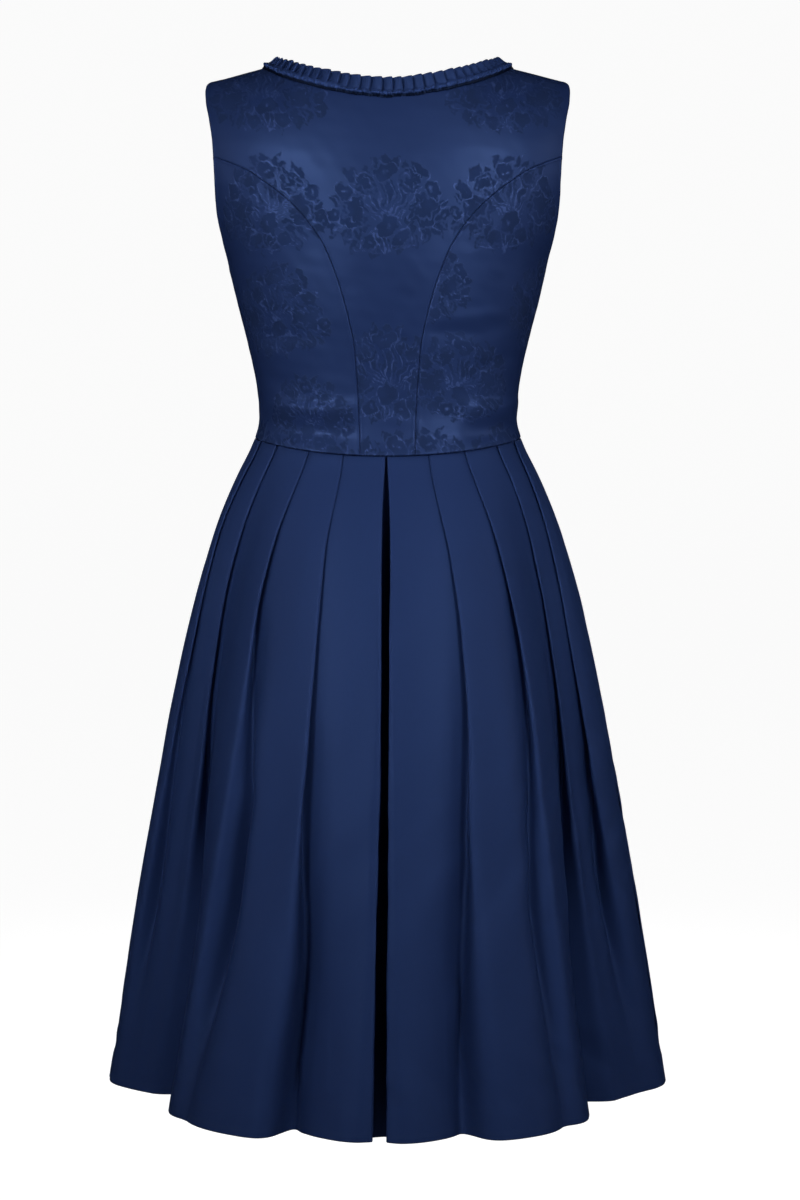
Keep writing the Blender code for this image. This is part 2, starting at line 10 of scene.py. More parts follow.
import bpy
import numpy as np
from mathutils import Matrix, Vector


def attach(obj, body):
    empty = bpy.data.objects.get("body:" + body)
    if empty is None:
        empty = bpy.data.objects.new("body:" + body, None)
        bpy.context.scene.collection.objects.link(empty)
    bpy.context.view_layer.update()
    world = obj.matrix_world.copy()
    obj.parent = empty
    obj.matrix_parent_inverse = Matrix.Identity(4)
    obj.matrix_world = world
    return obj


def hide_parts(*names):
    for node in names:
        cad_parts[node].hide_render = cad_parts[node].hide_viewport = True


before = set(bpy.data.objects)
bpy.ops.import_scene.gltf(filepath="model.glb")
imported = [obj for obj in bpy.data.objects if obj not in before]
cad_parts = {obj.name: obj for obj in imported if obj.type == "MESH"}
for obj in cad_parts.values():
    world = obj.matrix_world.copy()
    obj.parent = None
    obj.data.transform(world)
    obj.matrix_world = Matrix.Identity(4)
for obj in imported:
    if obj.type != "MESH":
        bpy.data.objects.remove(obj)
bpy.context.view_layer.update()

# =============================================================== sizes
NECK_X = 0.111
SHOULDER_X = 0.1752      # where the shoulder line turns round into the armhole edge
NECK_BACK_Z = -0.0105
NECK_FRONT_Z = -0.131
UNDERARM_Z = -0.190
WAIST_Z = -0.3525
WAIST_DIP = 0.0120
WAIST_DIP_FRONT = 0.0100
HEM_Z = -1.004
DOME_Z = -0.075
PLAN_POWER = 2.2
RIDGE_CLIMB = 0.99995
GAP = 0.00001            # between two panels at a seam
BODICE_CLOTH = 0.0012
SKIRT_CLOTH = 0.0009
CELL, WIDE_CELL = 0.00125, 0.00136   # of the bodice's outer face

#   height, half_width, back_depth, front_depth
TORSO = (
    (0.030, 0.1900, 0.0920, 0.0850),
    (-0.050, 0.1910, 0.1040, 0.0950),
    (-0.100, 0.1870, 0.1100, 0.1060),
    (-0.140, 0.1735, 0.1105, 0.1135),
    (-0.177, 0.1592, 0.1080, 0.1190),
    (-0.215, 0.1497, 0.1030, 0.1220),
    (-0.255, 0.1395, 0.0960, 0.1175),
    (-0.295, 0.1308, 0.0885, 0.1090),
    (-0.325, 0.1277, 0.0850, 0.1030),
    (-0.340, 0.1284, 0.0855, 0.1025),
    (-0.356, 0.1321, 0.0880, 0.1035),
    (-0.372, 0.1375, 0.0920, 0.1060),
)
BUST = dict(out=0.083, height=-0.215, rise=0.024, wide=0.045, tall=0.050)

#   height, distance from the middle
ARMHOLE_BACK = (
    (-0.0041, 0.1752), (-0.0050, 0.1766), (-0.0066, 0.1777), (-0.0095, 0.1783), (-0.0217, 0.1778),
    (-0.0415, 0.1739), (-0.0609, 0.1709), (-0.0802, 0.1693), (-0.0994, 0.1684), (-0.1186, 0.1678),
    (-0.1378, 0.1659), (-0.1572, 0.1621),
)
ARMHOLE_FRONT = (
    (-0.0041, 0.1752), (-0.0050, 0.1765), (-0.0066, 0.1772), (-0.0095, 0.1771), (-0.0200, 0.1738),
    (-0.0500, 0.1636), (-0.0800, 0.1556), (-0.1100, 0.1508), (-0.1350, 0.1490), (-0.1500, 0.1490),
)
PRINCESS_BACK = (
    (-0.0765, 0.1696), (-0.0800, 0.1590), (-0.0880, 0.1390), (-0.1000, 0.1195),
    (-0.1220, 0.0917), (-0.1400, 0.0755), (-0.1600, 0.0624), (-0.1850, 0.0515),
    (-0.2190, 0.0407), (-0.2500, 0.0336), (-0.3000, 0.0290), (-0.3645, 0.0266),
)
PRINCESS_FRONT = (
    (-0.1050, 0.1515), (-0.1120, 0.1410), (-0.1240, 0.1265), (-0.1450, 0.1110),
    (-0.1750, 0.0985), (-0.2150, 0.0895), (-0.2500, 0.0815), (-0.2900, 0.0690),
    (-0.3250, 0.0590), (-0.3625, 0.0545),
)

# ---- skirt: the fold edges of each quarter, from the middle outwards
#   angle at the waist, hem across, hem depth, cloth under, softness at the hem of the
#   fold edge and of the valley inside it (metres)
FOLDS_BACK_RIGHT = (
    (0.5, 0.0080, 0.2440, 0.030, 0.0035, 0.0030), (19.5, 0.1010, 0.2350, 0.035, 0.0135, 0.0120),
    (38.5, 0.1915, 0.1750, 0.033, 0.0130, 0.0105), (57.5, 0.2250, 0.0880, 0.035, 0.0032, 0.0050),
    (73.0, 0.2785, 0.0285, 0.0265, 0.0150, 0.0150),
)
FOLDS_BACK_LEFT = (
    (0.5, 0.0095, 0.2420, 0.030, 0.0035, 0.0030), (20.0, 0.1180, 0.2290, 0.035, 0.0135, 0.0120),
    (38.5, 0.2145, 0.1440, 0.033, 0.0130, 0.0105), (57.5, 0.2330, 0.0640, 0.035, 0.0030, 0.0050),
    (73.0, 0.2795, 0.0290, 0.018, 0.0150, 0.0150),
)
FOLDS_FRONT_RIGHT = (
    (0.5, 0.0080, 0.2440, 0.030, 0.0035, 0.0030), (20.5, 0.1060, 0.2330, 0.034, 0.0135, 0.0120),
    (39.0, 0.1880, 0.1760, 0.033, 0.0130, 0.0105), (58.0, 0.2330, 0.0900, 0.034, 0.0040, 0.0055),
    (73.0, 0.2785, 0.0300, 0.0265, 0.0150, 0.0150),
)
FOLDS_FRONT_LEFT = (
    (0.5, 0.0070, 0.2440, 0.030, 0.0035, 0.0030), (19.5, 0.1000, 0.2370, 0.033, 0.0135, 0.0120),
    (38.0, 0.1820, 0.1830, 0.034, 0.0130, 0.0105), (57.5, 0.2310, 0.0930, 0.034, 0.0036, 0.0055),
    (73.0, 0.2790, 0.0300, 0.0265, 0.0150, 0.0150),
)
WAIST_HALF_WIDTH, WAIST_BACK, WAIST_FRONT = 0.1306, 0.0866, 0.1022
LAYER = 0.0015
FLARE = (
    (0.0, 0.0), (0.02, 0.037), (0.05, 0.102), (0.11, 0.214), (0.20, 0.341),
    (0.36, 0.511), (0.55, 0.672), (0.76, 0.831), (1.0, 1.0),
)
FOLD_SOFT_TOP = 0.0008   # softness of a pressed fold at the waist
# how far each pleat has opened: level, share of what the cloth under it allows
OPENING = {
    0: ((0.0, 0.0), (0.05, 0.06), (0.12, 0.11), (0.25, 0.22), (0.40, 0.42), (0.55, 0.62), (0.72, 0.86), (0.85, 0.96), (1.0, 1.0)),
    3: ((0.0, 0.0), (0.05, 0.05), (0.12, 0.09), (0.25, 0.14), (0.40, 0.24), (0.55, 0.55), (0.72, 0.90), (0.85, 1.0), (1.0, 1.0)),
    2: ((0.0, 0.0), (0.05, 0.06), (0.12, 0.12), (0.25, 0.24), (0.40, 0.42), (0.55, 0.66), (0.68, 0.90), (0.80, 1.0), (1.0, 1.0)),
    17: ((0.0, 0.0), (0.05, 0.06), (0.12, 0.12), (0.25, 0.28), (0.38, 0.55), (0.48, 0.80), (0.58, 1.0), (1.0, 1.0)),
}
for k in (7, 12, 4, 5, 14, 15):
    OPENING[k] = OPENING[2]
for k in (16, 6, 13):
    OPENING[k] = OPENING[3]
# folds that turn soft early (low) or late (high) on the way down
LATE = {1: 1.6, 18: 1.6, 8: 1.6, 11: 1.6, 2: 1.9, 7: 1.8, 12: 1.8, 17: 1.9, 4: 1.6, 5: 1.6, 14: 1.6, 15: 1.6}
# folds that flatten into a soft dip lower down: level, share; and how deep that dip is
SLACK = ((0.0, 0.0), (0.56, 0.0), (0.66, 0.20), (0.76, 0.60), (0.88, 0.90), (1.0, 1.0))
SLACK_DEPTH = {17: 0.032, 2: 0.030, 7: 0.028, 12: 0.028, 4: 0.018, 5: 0.018, 14: 0.018, 15: 0.018}
HEM_FADE = {17: 0.62, 2: 0.40, 4: 0.55, 15: 0.55, 5: 0.35, 14: 0.35}   # how much of a valley is gone again at the hem
# cloth that falls into a fold towards the hem, beyond what lies under the pleat (metres)
STEEP = {1: 0.35, 18: 0.35, 2: 0.75, 17: 0.75, 3: 0.6, 16: 0.6, 4: 0.75, 15: 0.75}   # how late a panel turns in
SPARE = {18: 0.025, 1: 0.016, 16: 0.010, 3: 0.015, 8: 0.018, 11: 0.020, 6: 0.013, 13: 0.012, 17: 0.036, 2: 0.012,
         15: 0.022, 4: 0.016, 5: 0.012, 14: 0.012}
ROLL = 0.011             # how far the cloth beside the middle gap rolls in at the hem
# how a fold's edge strays from the straight line between waist and hem: level, metres
LEVELS = (0.0, 0.05, 0.13, 0.22, 0.31, 0.41, 0.51, 0.64, 0.76, 0.88, 1.0)
DRIFT = {
    0: (-1.5, -0.8, -0.8, -2.0, -3.4, -4.8, -6, -7.5, -9, -10.5, -11.5), 19: (-1.2, -2, -2, -1.2, -0.4, 0, -0.4, -1.4, -2.4, -3.4, -3.6),
    18: (2, 5, 6, 10, 13, 15, 16, 16, 16, 10, 0), 17: (6, 9, 10, 12, 18, 22, 21, 19, 14, 7, 0),
    16: (4, 2, -1, -2, 1, 4, 7, 8, 7, 4, 1), 15: (2, 2, 1, 6, 10, 11, 10, 8, 5, 2, 0),
    1: (-4, -5, -2, 0, 0, -2, -6, -8, -9, -8, 0), 2: (-8, -9, -7, -6, -5, -6, -8, -8, -6, -3, 0),
    3: (-6, -4, -4, -6, -8, -11, -13, -13, -11, -7, -3), 4: (-3, -8, -16, -24, -31, -35, -37, -36, -33, -28, -23),
    8: (5, 5, 4, 2, 0, 3, 5, 6, 6, 4, 0), 7: (6, 7, 7, 6, 5, 5, 6, 6, 4, 2, 0),
    6: (4, 2, 1, 1, 3, 5, 7, 6, 4, 2, 0), 5: (2, 3, 5, 8, 10, 11, 10, 8, 5, 2, 0),
    11: (-4, -4, -3, -2, -1, -3, -5, -6, -6, -4, 0), 12: (-6, -7, -7, -6, -5, -5, -6, -5, -4, -2, 0),
    13: (-4, -2, -1, -1, -3, -5, -7, -6, -4, -2, 0), 14: (-2, -3, -5, -8, -10, -11, -10, -8, -5, -2, 0),
}
DRIFT = {k: tuple((a, b / 1000) for a, b in zip(LEVELS, row)) for k, row in DRIFT.items()}

# ---- creases of the bodice: soft ridges (+) and troughs (-) that run across
#   across, height, half_length, rise, soft_above, soft_below, slope
CREASES_BACK = (
    (-0.0700, -0.3190, 0.0400, 0.0044, 0.0046, 0.0105, 0.02),
    (-0.0780, -0.3435, 0.0440, -0.0028, 0.0110, 0.0062, 0.00),
    (-0.1060, -0.2960, 0.0220, -0.0008, 0.0060, 0.0050, -0.15),
    (0.1010, -0.3180, 0.0260, 0.0040, 0.0046, 0.0105, -0.03),
    (0.1000, -0.3425, 0.0260, -0.0026, 0.0105, 0.0060, 0.02),
    (0.0200, -0.3480, 0.0500, -0.0009, 0.0090, 0.0060, 0.00),
    (0.0750, -0.2445, 0.0400, -0.0009, 0.0070, 0.0050, 0.06),
    (0.0800, -0.2300, 0.0360, 0.0007, 0.0050, 0.0070, 0.05),
    (-0.0850, -0.2500, 0.0300, -0.0007, 0.0060, 0.0060, -0.08),
    (0.0000, -0.2600, 0.0250, -0.0005, 0.0100, 0.0100, 0.00),
    (0.0020, -0.3300, 0.0220, 0.0005, 0.0060, 0.0080, 0.00),
    (0.1080, -0.2750, 0.0180, -0.0007, 0.0050, 0.0050, 0.20),
    (-0.1150, -0.2650, 0.0160, 0.0006, 0.0050, 0.0060, -0.20),
)
CREASES_FRONT = (
    (-0.1000, -0.3080, 0.0260, 0.0016, 0.0036, 0.0085, -0.04),
    (-0.0960, -0.3240, 0.0240, -0.0012, 0.0065, 0.0060, 0.00),
    (0.0980, -0.3110, 0.0300, 0.0015, 0.0036, 0.0085, 0.05),
    (0.0950, -0.3270, 0.0260, -0.0011, 0.0065, 0.0060, 0.00),
    (0.1100, -0.2700, 0.0220, -0.0008, 0.0055, 0.0055, 0.20),
    (-0.1120, -0.2820, 0.0200, -0.0008, 0.0055, 0.0055, -0.22),
    (0.0350, -0.2900, 0.0260, -0.0006, 0.0080, 0.0080, -0.30),
    (-0.0330, -0.3000, 0.0260, -0.0006, 0.0080, 0.0080, 0.28),
    (0.1250, -0.1500, 0.0180, -0.0007, 0.0060, 0.0060, 0.70),
    (-0.1240, -0.1540, 0.0180, -0.0007, 0.0060, 0.0060, -0.70),
)

# ---- where the woven bouquets lie: across, height, scale
BOUQUETS_BACK = (
    (0.0000, -0.1250, 1.00), (0.0000, -0.2870, 1.00), (-0.1160, -0.0150, 1.00), (0.1160, -0.0150, 1.00),
    (-0.1150, -0.1250, 1.00), (0.1150, -0.1250, 1.00), (0.0080, -0.3900, 1.00),
)
BOUQUETS_SIDE_BACK_RIGHT = (
    (0.1170, -0.1210, 1.00), (0.0720, -0.2900, 0.92), (0.1460, -0.2200, 0.92), (0.1150, -0.3860, 1.00),
    (0.0350, -0.2000, 0.80), (0.0400, -0.3850, 0.95),
)
BOUQUETS_SIDE_BACK_LEFT = (
    (-0.1130, -0.1240, 1.00), (-0.1080, -0.2260, 0.95), (-0.0780, -0.3250, 0.80), (-0.0500, -0.3950, 0.95),
    (-0.1300, -0.3800, 0.95),
)
BOUQUETS_FRONT = (
    (0.0000, -0.2050, 1.00), (0.0000, -0.3650, 1.00), (-0.1170, -0.0350, 1.00), (0.1170, -0.0350, 1.00),
    (-0.1170, -0.2050, 1.00), (0.1170, -0.2050, 1.00), (-0.0585, -0.2850, 0.85), (0.0585, -0.2850, 0.85),
)
BOUQUETS_SIDE_FRONT = (
    (-0.1280, -0.1950, 0.95), (0.1280, -0.1950, 0.95), (-0.0900, -0.2950, 0.95), (0.0900, -0.2950, 0.95),
    (-0.1500, -0.3500, 0.90), (0.1500, -0.3500, 0.90),
)

NAVY = {
    "ground": (0.0099, 0.0212, 0.0780),
    "figure": (0.0062, 0.0134, 0.0480),
    "line": (0.0310, 0.0550, 0.1660),
    "skirt": (0.0155, 0.0315, 0.1070),
    "skirt_dark": (0.0135, 0.0280, 0.0950),
    "ribbon": (0.0140, 0.0285, 0.0950),
    "shine": (0.22, 0.38, 0.90),
}


# =============================================================== functions
def through(table, x, column=1):
    rows = sorted(table)
    xs = np.array([r[0] for r in rows], float)
    ys = np.array([r[column] for r in rows], float)
    x = np.asarray(x, float)
    h = np.diff(xs)
    d = np.diff(ys) / h
    m = np.empty_like(ys)
    m[1:-1] = (d[:-1] * h[1:] + d[1:] * h[:-1]) / (h[1:] + h[:-1])
    m[0], m[-1] = d[0], d[-1]
    i = np.clip(np.searchsorted(xs, x, side="right") - 1, 0, len(xs) - 2)
    w, t = h[i], (x - xs[i]) / h[i]
    k = np.clip(t, 0, 1)
    curve = (
        (1 + 2 * k) * (1 - k) ** 2 * ys[i] + k * (1 - k) ** 2 * w * m[i]
        + k * k * (3 - 2 * k) * ys[i + 1] + k * k * (k - 1) * w * m[i + 1]
    )
    return np.where((t < 0) | (t > 1), ys[i] + d[i] * (x - xs[i]), curve)


def smooth(a, b, x):
    t = np.clip((x - a) / (b - a), 0, 1)
    return t * t * (3 - 2 * t)


def ripple(*coords, waves, seed):
    """A smooth uneven field from -1 to 1: a few sine waves with fixed directions."""
    r = np.random.default_rng(seed)
    total = 0.0
    for _ in range(8):
        k = r.normal(size=len(coords)) * waves
        total = total + np.sin(sum(ki * ci for ki, ci in zip(k, coords)) * 2 * math.pi + r.random() * 6.28)
    return total / 4.0


def ridge(x):
    x = np.abs(x)
    return np.where(
        x < NECK_X, 0.071 - 8.2696 * x**2 + 287.8 * x**4, 0.0128 - 0.2615 * (x - NECK_X)
    )


def across_of(x, z):
    r = np.clip(np.abs(x) / through(TORSO, z), 0, 1)
    return np.sign(x) * np.arcsin(r ** (PLAN_POWER / 2)) * 2 / math.pi


def climb_of(x, z):
    f = (z - DOME_Z) / (ridge(x) - DOME_Z)
    return np.where(f > 0, np.arcsin(np.clip(f, 0, 1)) * 2 / math.pi, (z - DOME_Z) / 0.12)


def torso(face, q, h):
    """A point of the torso form; face is -1 on the back and 1 on the front."""
    q, h = np.broadcast_arrays(np.asarray(q, float), np.asarray(h, float))
    z = np.where(h < 0, DOME_Z + 0.12 * h, 0.0)
    for _ in range(12):
        w = through(TORSO, z)
        x = w * np.sign(q) * np.abs(np.sin(q * math.pi / 2)) ** (2 / PLAN_POWER)
        rise = (ridge(x) - DOME_Z) * np.sin(np.clip(h, 0, 1) * math.pi / 2)
        z = np.where(h < 0, DOME_Z + 0.12 * h, DOME_Z + rise)
    depth = through(TORSO, z, 2 if face < 0 else 3)
    y = depth * np.abs(np.cos(q * math.pi / 2)) ** (2 / PLAN_POWER)
    y = y * np.cos(np.clip(h, 0, 1) * math.pi / 2)
    if face > 0:
        for side in (-1, 1):
            y = y + BUST["rise"] * np.exp(
                -((x - side * BUST["out"]) ** 2) / (2 * BUST["wide"] ** 2)
                - (z - BUST["height"]) ** 2 / (2 * BUST["tall"] ** 2)
            ) * np.abs(np.cos(q * math.pi / 2)) ** 0.5
    return np.stack([x, face * y, z], axis=-1)


def waist_z(face, x):
    dip = WAIST_DIP if face < 0 else WAIST_DIP_FRONT
    return WAIST_Z - dip * (1 - np.clip(np.abs(x) / WAIST_HALF_WIDTH, 0, 1) ** 2)


def run_of(points):
    return np.concatenate([[0], np.cumsum(np.linalg.norm(np.diff(points, axis=0), axis=1))])


def heights(table, low, high, steps=900):
    z = np.linspace(high, low, steps)
    return np.stack([through(table, z), z], axis=1)


def on_form(line):
    return np.stack([across_of(line[:, 0], line[:, 1]), climb_of(line[:, 0], line[:, 1])], axis=1)


def stations(length, cell, start=False, end=False):
    """Shares of a length, one cell apart, with two closer ones at an end that rolls under."""
    n = max(int(round(length / cell)), 2)
    at = list(np.linspace(0, length, n + 1))
    if start:
        at = [0, 0.00035, 0.0008] + [a for a in at if a > 0.0013]
    if end:
        at = [a for a in at if a < length - 0.0013] + [length - 0.0008, length - 0.00035, length]
    return np.array(at) / length


def edge(face, *runs):
    """An edge from runs of ((across, climb) line, shares of its length on the form)."""
    out = []
    for line, at in runs:
        run = run_of(torso(face, line[:, 0], line[:, 1]))
        part = np.stack([np.interp(np.asarray(at) * run[-1], run, line[:, k]) for k in (0, 1)], axis=1)
        out += list(part if not out else part[1:])
    return np.array(out)


def patch(top, bottom, left, right, u, v):
    u, v = u[None, :, None], v[:, None, None]
    return (
        (1 - v) * top[None] + v * bottom[None] + (1 - u) * left[:, None] + u * right[:, None]
        - (1 - v) * (1 - u) * top[0] - (1 - v) * u * top[-1]
        - v * (1 - u) * bottom[0] - v * u * bottom[-1]
    )


def length_on(face, line):
    return run_of(torso(face, line[:, 0], line[:, 1]))[-1]


def neck_line(face, steps=400):
    if face < 0:
        x = np.linspace(0, NECK_X, steps)
        rise = (x / NECK_X) ** 1.75
        return np.stack([x, NECK_BACK_Z + (0.0128 - NECK_BACK_Z) * rise], axis=1)
    t = np.linspace(0, math.pi / 2, steps)
    return np.stack(
        [NECK_X * np.sin(t) ** 0.95, 0.0128 + (NECK_FRONT_Z - 0.0128) * np.cos(t) ** 0.95], axis=1
    )


def shoulder_line(steps=80):
    x = np.linspace(NECK_X, SHOULDER_X, steps)
    return np.stack([across_of(x, ridge(x)), np.full(steps, RIDGE_CLIMB)], axis=1)


def armhole(face):
    table = ARMHOLE_BACK if face < 0 else ARMHOLE_FRONT
    upper = on_form(heights(table, table[-1][0], table[0][0]))
    upper[0] = (across_of(SHOULDER_X, ridge(SHOULDER_X)), RIDGE_CLIMB)
    p0, p1 = upper[-1], np.array([1.0, climb_of(0.0, UNDERARM_Z)])
    d0 = upper[-1] - upper[-10]
    d0 = d0 / abs(d0[1]) * (p0[1] - p1[1]) * 1.6
    d1 = np.array([1.3 * (p1[0] - p0[0]), 0.0])
    t = np.linspace(0, 1, 120)[1:, None]
    lower = (
        (1 + 2 * t) * (1 - t) ** 2 * p0 + t * (1 - t) ** 2 * d0
        + t * t * (3 - 2 * t) * p1 + t * t * (t - 1) * d1
    )
    return np.vstack([upper, lower])


def cut(line, climb):
    k = int(np.argmin(np.abs(line[:, 1] - climb)))
    return line[: k + 1], line[k:]


def princess_line(face, side):
    """The princess seam of one half as (across, climb), moved a half gap to one side."""
    seam = PRINCESS_BACK if face < 0 else PRINCESS_FRONT
    line = heights(seam, waist_z(face, seam[-1][1]), seam[0][0], 2400)
    t = np.gradient(line, axis=0)
    t /= np.linalg.norm(t, axis=1)[:, None]
    line = line + side * GAP / 2 * np.stack([-t[:, 1], t[:, 0]], axis=1)
    return on_form(line)


def waist_line(face, q0, q1, shares):
    q = q0 + (q1 - q0) * np.asarray(shares)
    w = float(through(TORSO, WAIST_Z))
    x = w * np.abs(np.sin(q * math.pi / 2)) ** (2 / PLAN_POWER)
    return np.stack([q, climb_of(x, waist_z(face, x))], axis=1)


def middle(inner, high, low):
    z = np.linspace(high, low, 160)
    return np.stack([across_of(np.full(160, inner), z), climb_of(0.0, z)], axis=1)


def outward(face, q, h, p):
    """The form's outward direction, from small steps towards its middle and its foot."""
    step = np.where(q > 0, -0.002, 0.002)
    dq = (torso(face, q + step, h) - p) * np.sign(step)[..., None]
    dh = p - torso(face, q, h - 0.002)
    n = np.cross(dq, dh) * -face
    return n / np.linalg.norm(n, axis=-1, keepdims=True)


# ------------------------------------------------------------ bodice grids
def back_centre_half(cell):
    seam = princess_line(-1, -1)
    start = seam[0, 1]
    arm, _ = cut(armhole(-1), start)
    arm[-1] = seam[0]
    neck = on_form(neck_line(-1))
    neck[-1, 1] = RIDGE_CLIMB
    low, level = waist_z(-1, 0.0), DOME_Z + 0.12 * start
    shoulder = shoulder_line()
    ln, ls = length_on(-1, neck), length_on(-1, shoulder)
    sn, ss = stations(ln, cell * 1.15), stations(ls, cell * 1.15, end=True)
    u = np.concatenate([sn * ln, ln + ss[1:] * ls]) / (ln + ls)
    top = edge(-1, (neck, sn), (shoulder, ss))
    across = np.array([[0.0, start]]) + (seam[0] - np.array([0.0, start])) * u[:, None]
    mid_up = middle(0.0, NECK_BACK_Z, level)
    v1 = stations(0.5 * (length_on(-1, mid_up) + length_on(-1, arm)), cell, start=True)
    yoke = patch(top, across, edge(-1, (mid_up, v1)), edge(-1, (arm, v1)), u, v1)
    v2 = stations(length_on(-1, seam), cell * 1.12, end=True)
    left = edge(-1, (middle(0.0, level, low), v2))
    body = patch(across, waist_line(-1, 0.0, seam[-1, 0], u), left, edge(-1, (seam, v2)), u, v2)
    return np.concatenate([yoke, body[1:]], axis=0)


def front_centre_half(cell):
    seam = princess_line(1, -1)
    start = seam[0, 1]
    arm, _ = cut(armhole(1), start)
    arm[-1] = seam[0]
    line = neck_line(1)
    line = line[line[:, 0] > GAP]
    neck = on_form(line)[::-1].copy()
    neck[0, 1] = RIDGE_CLIMB
    upper, lower = cut(neck, start)
    low = waist_z(1, 0.0)
    shoulder = shoulder_line()
    wide = length_on(1, np.linspace(upper[-1], seam[0], 60))
    u = stations(max(wide, length_on(1, shoulder)), cell * 1.1, start=True, end=True)
    across = upper[-1] + (seam[0] - upper[-1]) * u[:, None]
    v1 = stations(0.5 * (length_on(1, upper) + length_on(1, arm)), cell, start=True)
    strap = patch(edge(1, (shoulder, u)), across, edge(1, (upper, v1)), edge(1, (arm, v1)), u, v1)
    lower = np.vstack([lower, [across_of(GAP / 2, line[0, 1]), lower[-1, 1]]])
    down = middle(GAP / 2, line[0, 1], low)
    ll, ld = length_on(1, lower), length_on(1, down)
    v2 = stations(length_on(1, seam), cell * 1.12, end=True)
    turn = ll / (ll + ld)
    k = int(np.argmin(np.abs(v2 - turn)))
    v2 = v2.copy()
    v2[k] = turn
    left = edge(1, (lower, v2[: k + 1] / turn), (down, (v2[k:] - turn) / (1 - turn)))
    body = patch(across, waist_line(1, left[-1, 0], seam[-1, 0], u), left, edge(1, (seam, v2)), u, v2)
    return np.concatenate([strap, body[1:]], axis=0)


def side_panel(face, cell):
    seam = princess_line(face, 1)
    _, arm = cut(armhole(face), seam[0, 1] - 0.004)
    q_side = 1 - GAP / 0.5
    arm = arm[arm[:, 0] < q_side]
    low = climb_of(0.0, waist_z(face, WAIST_HALF_WIDTH))
    side = np.stack([np.full(160, q_side), np.linspace(arm[-1, 1], float(low), 160)], axis=1)
    la, ls = length_on(face, arm), length_on(face, side)
    turn = la / (la + ls)
    v = stations(length_on(face, seam), cell * 1.12, start=True, end=True)
    k = int(np.argmin(np.abs(v - turn)))
    v = v.copy()
    v[k] = turn
    right = edge(face, (arm, v[: k + 1] / turn), (side, (v[k:] - turn) / (1 - turn)))
    bottom = waist_line(face, seam[-1, 0], right[-1, 0], np.linspace(0, 1, 60))
    u = stations(length_on(face, bottom), cell * 1.1, start=True, end=True)
    top = seam[0] + (right[0] - seam[0]) * u[:, None]
    return patch(top, waist_line(face, seam[-1, 0], right[-1, 0], u), edge(face, (seam, v)), right, u, v)


def cloth_place(face, q, h):
    """How far a point lies along the cloth from the middle, and above the dome's foot, in metres."""
    p = torso(face, q, h)
    z = p[..., 2]
    depth = through(TORSO, z, 2 if face < 0 else 3)
    wide = through(TORSO, z)
    side = np.zeros_like(q)
    last = np.zeros(q.shape + (2,))
    last[..., 1] = depth
    for k in range(1, 25):
        a = np.abs(q) * k / 24 * math.pi / 2
        now = np.stack(
            [wide * np.sin(a) ** (2 / PLAN_POWER), depth * np.cos(a) ** (2 / PLAN_POWER)], axis=-1
        )
        side = side + np.linalg.norm(now - last, axis=-1)
        last = now
    flat = np.clip(h, 0, 1)
    reach = ridge(p[..., 0]) - DOME_Z
    deep = depth * np.abs(np.cos(q * math.pi / 2)) ** (2 / PLAN_POWER)
    up = np.zeros_like(q)
    for k in range(16):
        a = flat * (k + 0.5) / 16 * math.pi / 2
        up = up + np.sqrt((reach * np.cos(a)) ** 2 + (deep * np.sin(a)) ** 2) * flat * math.pi / 2 / 16
    narrow = np.cos(flat * math.pi / 2) ** 0.3 * 0.0 + 1.0
    x_side = np.where(h > 0, side * 0.5 + np.abs(p[..., 0]) * 0.5, side) * narrow
    return np.sign(q) * x_side, np.where(h > 0, up, z - DOME_Z)


# ------------------------------------------------------------ damask figure
def leaf(a, b, x0, y0, x1, y1, half):
    dx, dy = x1 - x0, y1 - y0
    long = math.hypot(dx, dy)
    t = ((a - x0) * dx + (b - y0) * dy) / long**2
    d = ((b - y0) * dx - (a - x0) * dy) / long
    d = d - 0.12 * long * np.sin(np.clip(t, 0, 1) * math.pi) * (1 if dx > 0 else -1)
    wide = half * np.sin(math.pi * np.clip(t, 0, 1) ** 0.8) ** 0.85
    past = np.maximum(0, np.maximum(-t, t - 1)) * long
    return np.where(past > 0, np.hypot(past, d), np.abs(d) - wide)


def vein(a, b, x0, y0, x1, y1, half):
    dx, dy = x1 - x0, y1 - y0
    long = math.hypot(dx, dy)
    t = ((a - x0) * dx + (b - y0) * dy) / long**2
    d = ((b - y0) * dx - (a - x0) * dy) / long
    d = d - 0.12 * long * np.sin(np.clip(t, 0, 1) * math.pi) * (1 if dx > 0 else -1)
    past = np.maximum(0, np.maximum(0.1 - t, t - 0.8)) * long
    return np.hypot(past, d) - half


def stem(a, b, p0, p1, p2, half):
    best = np.full(a.shape, 1e3)
    t = np.linspace(0, 1, 15)[:, None]
    line = (1 - t) ** 2 * np.array(p0) + 2 * t * (1 - t) * np.array(p1) + t * t * np.array(p2)
    for (x0, y0), (x1, y1) in zip(line[:-1], line[1:]):
        dx, dy = x1 - x0, y1 - y0
        k = np.clip(((a - x0) * dx + (b - y0) * dy) / (dx * dx + dy * dy), 0, 1)
        best = np.minimum(best, np.hypot(a - x0 - k * dx, b - y0 - k * dy))
    return best - half


def bloom(a, b, cx, cy, r, petals, turn, scallop):
    th = np.arctan2(b - cy, a - cx)
    edge_r = r * (1 - scallop * (1 - np.abs(np.cos(petals * th / 2 + turn)) ** 0.8))
    return np.hypot(a - cx, b - cy) - edge_r


#   blooms: across, up, radius, petals, turn
BLOOMS = (
    (0.0, -19.0, 11.0, 6, 0.0), (34.0, -5.0, 16.5, 8, 0.5), (22.0, 22.0, 11.5, 6, 0.9),
    (2.0, 34.0, 9.0, 5, 0.3), (42.5, 15.0, 8.5, 6, 0.2), (15.5, -33.0, 8.5, 5, 0.6), (53.0, -8.0, 7.0, 5, 0.1),
)
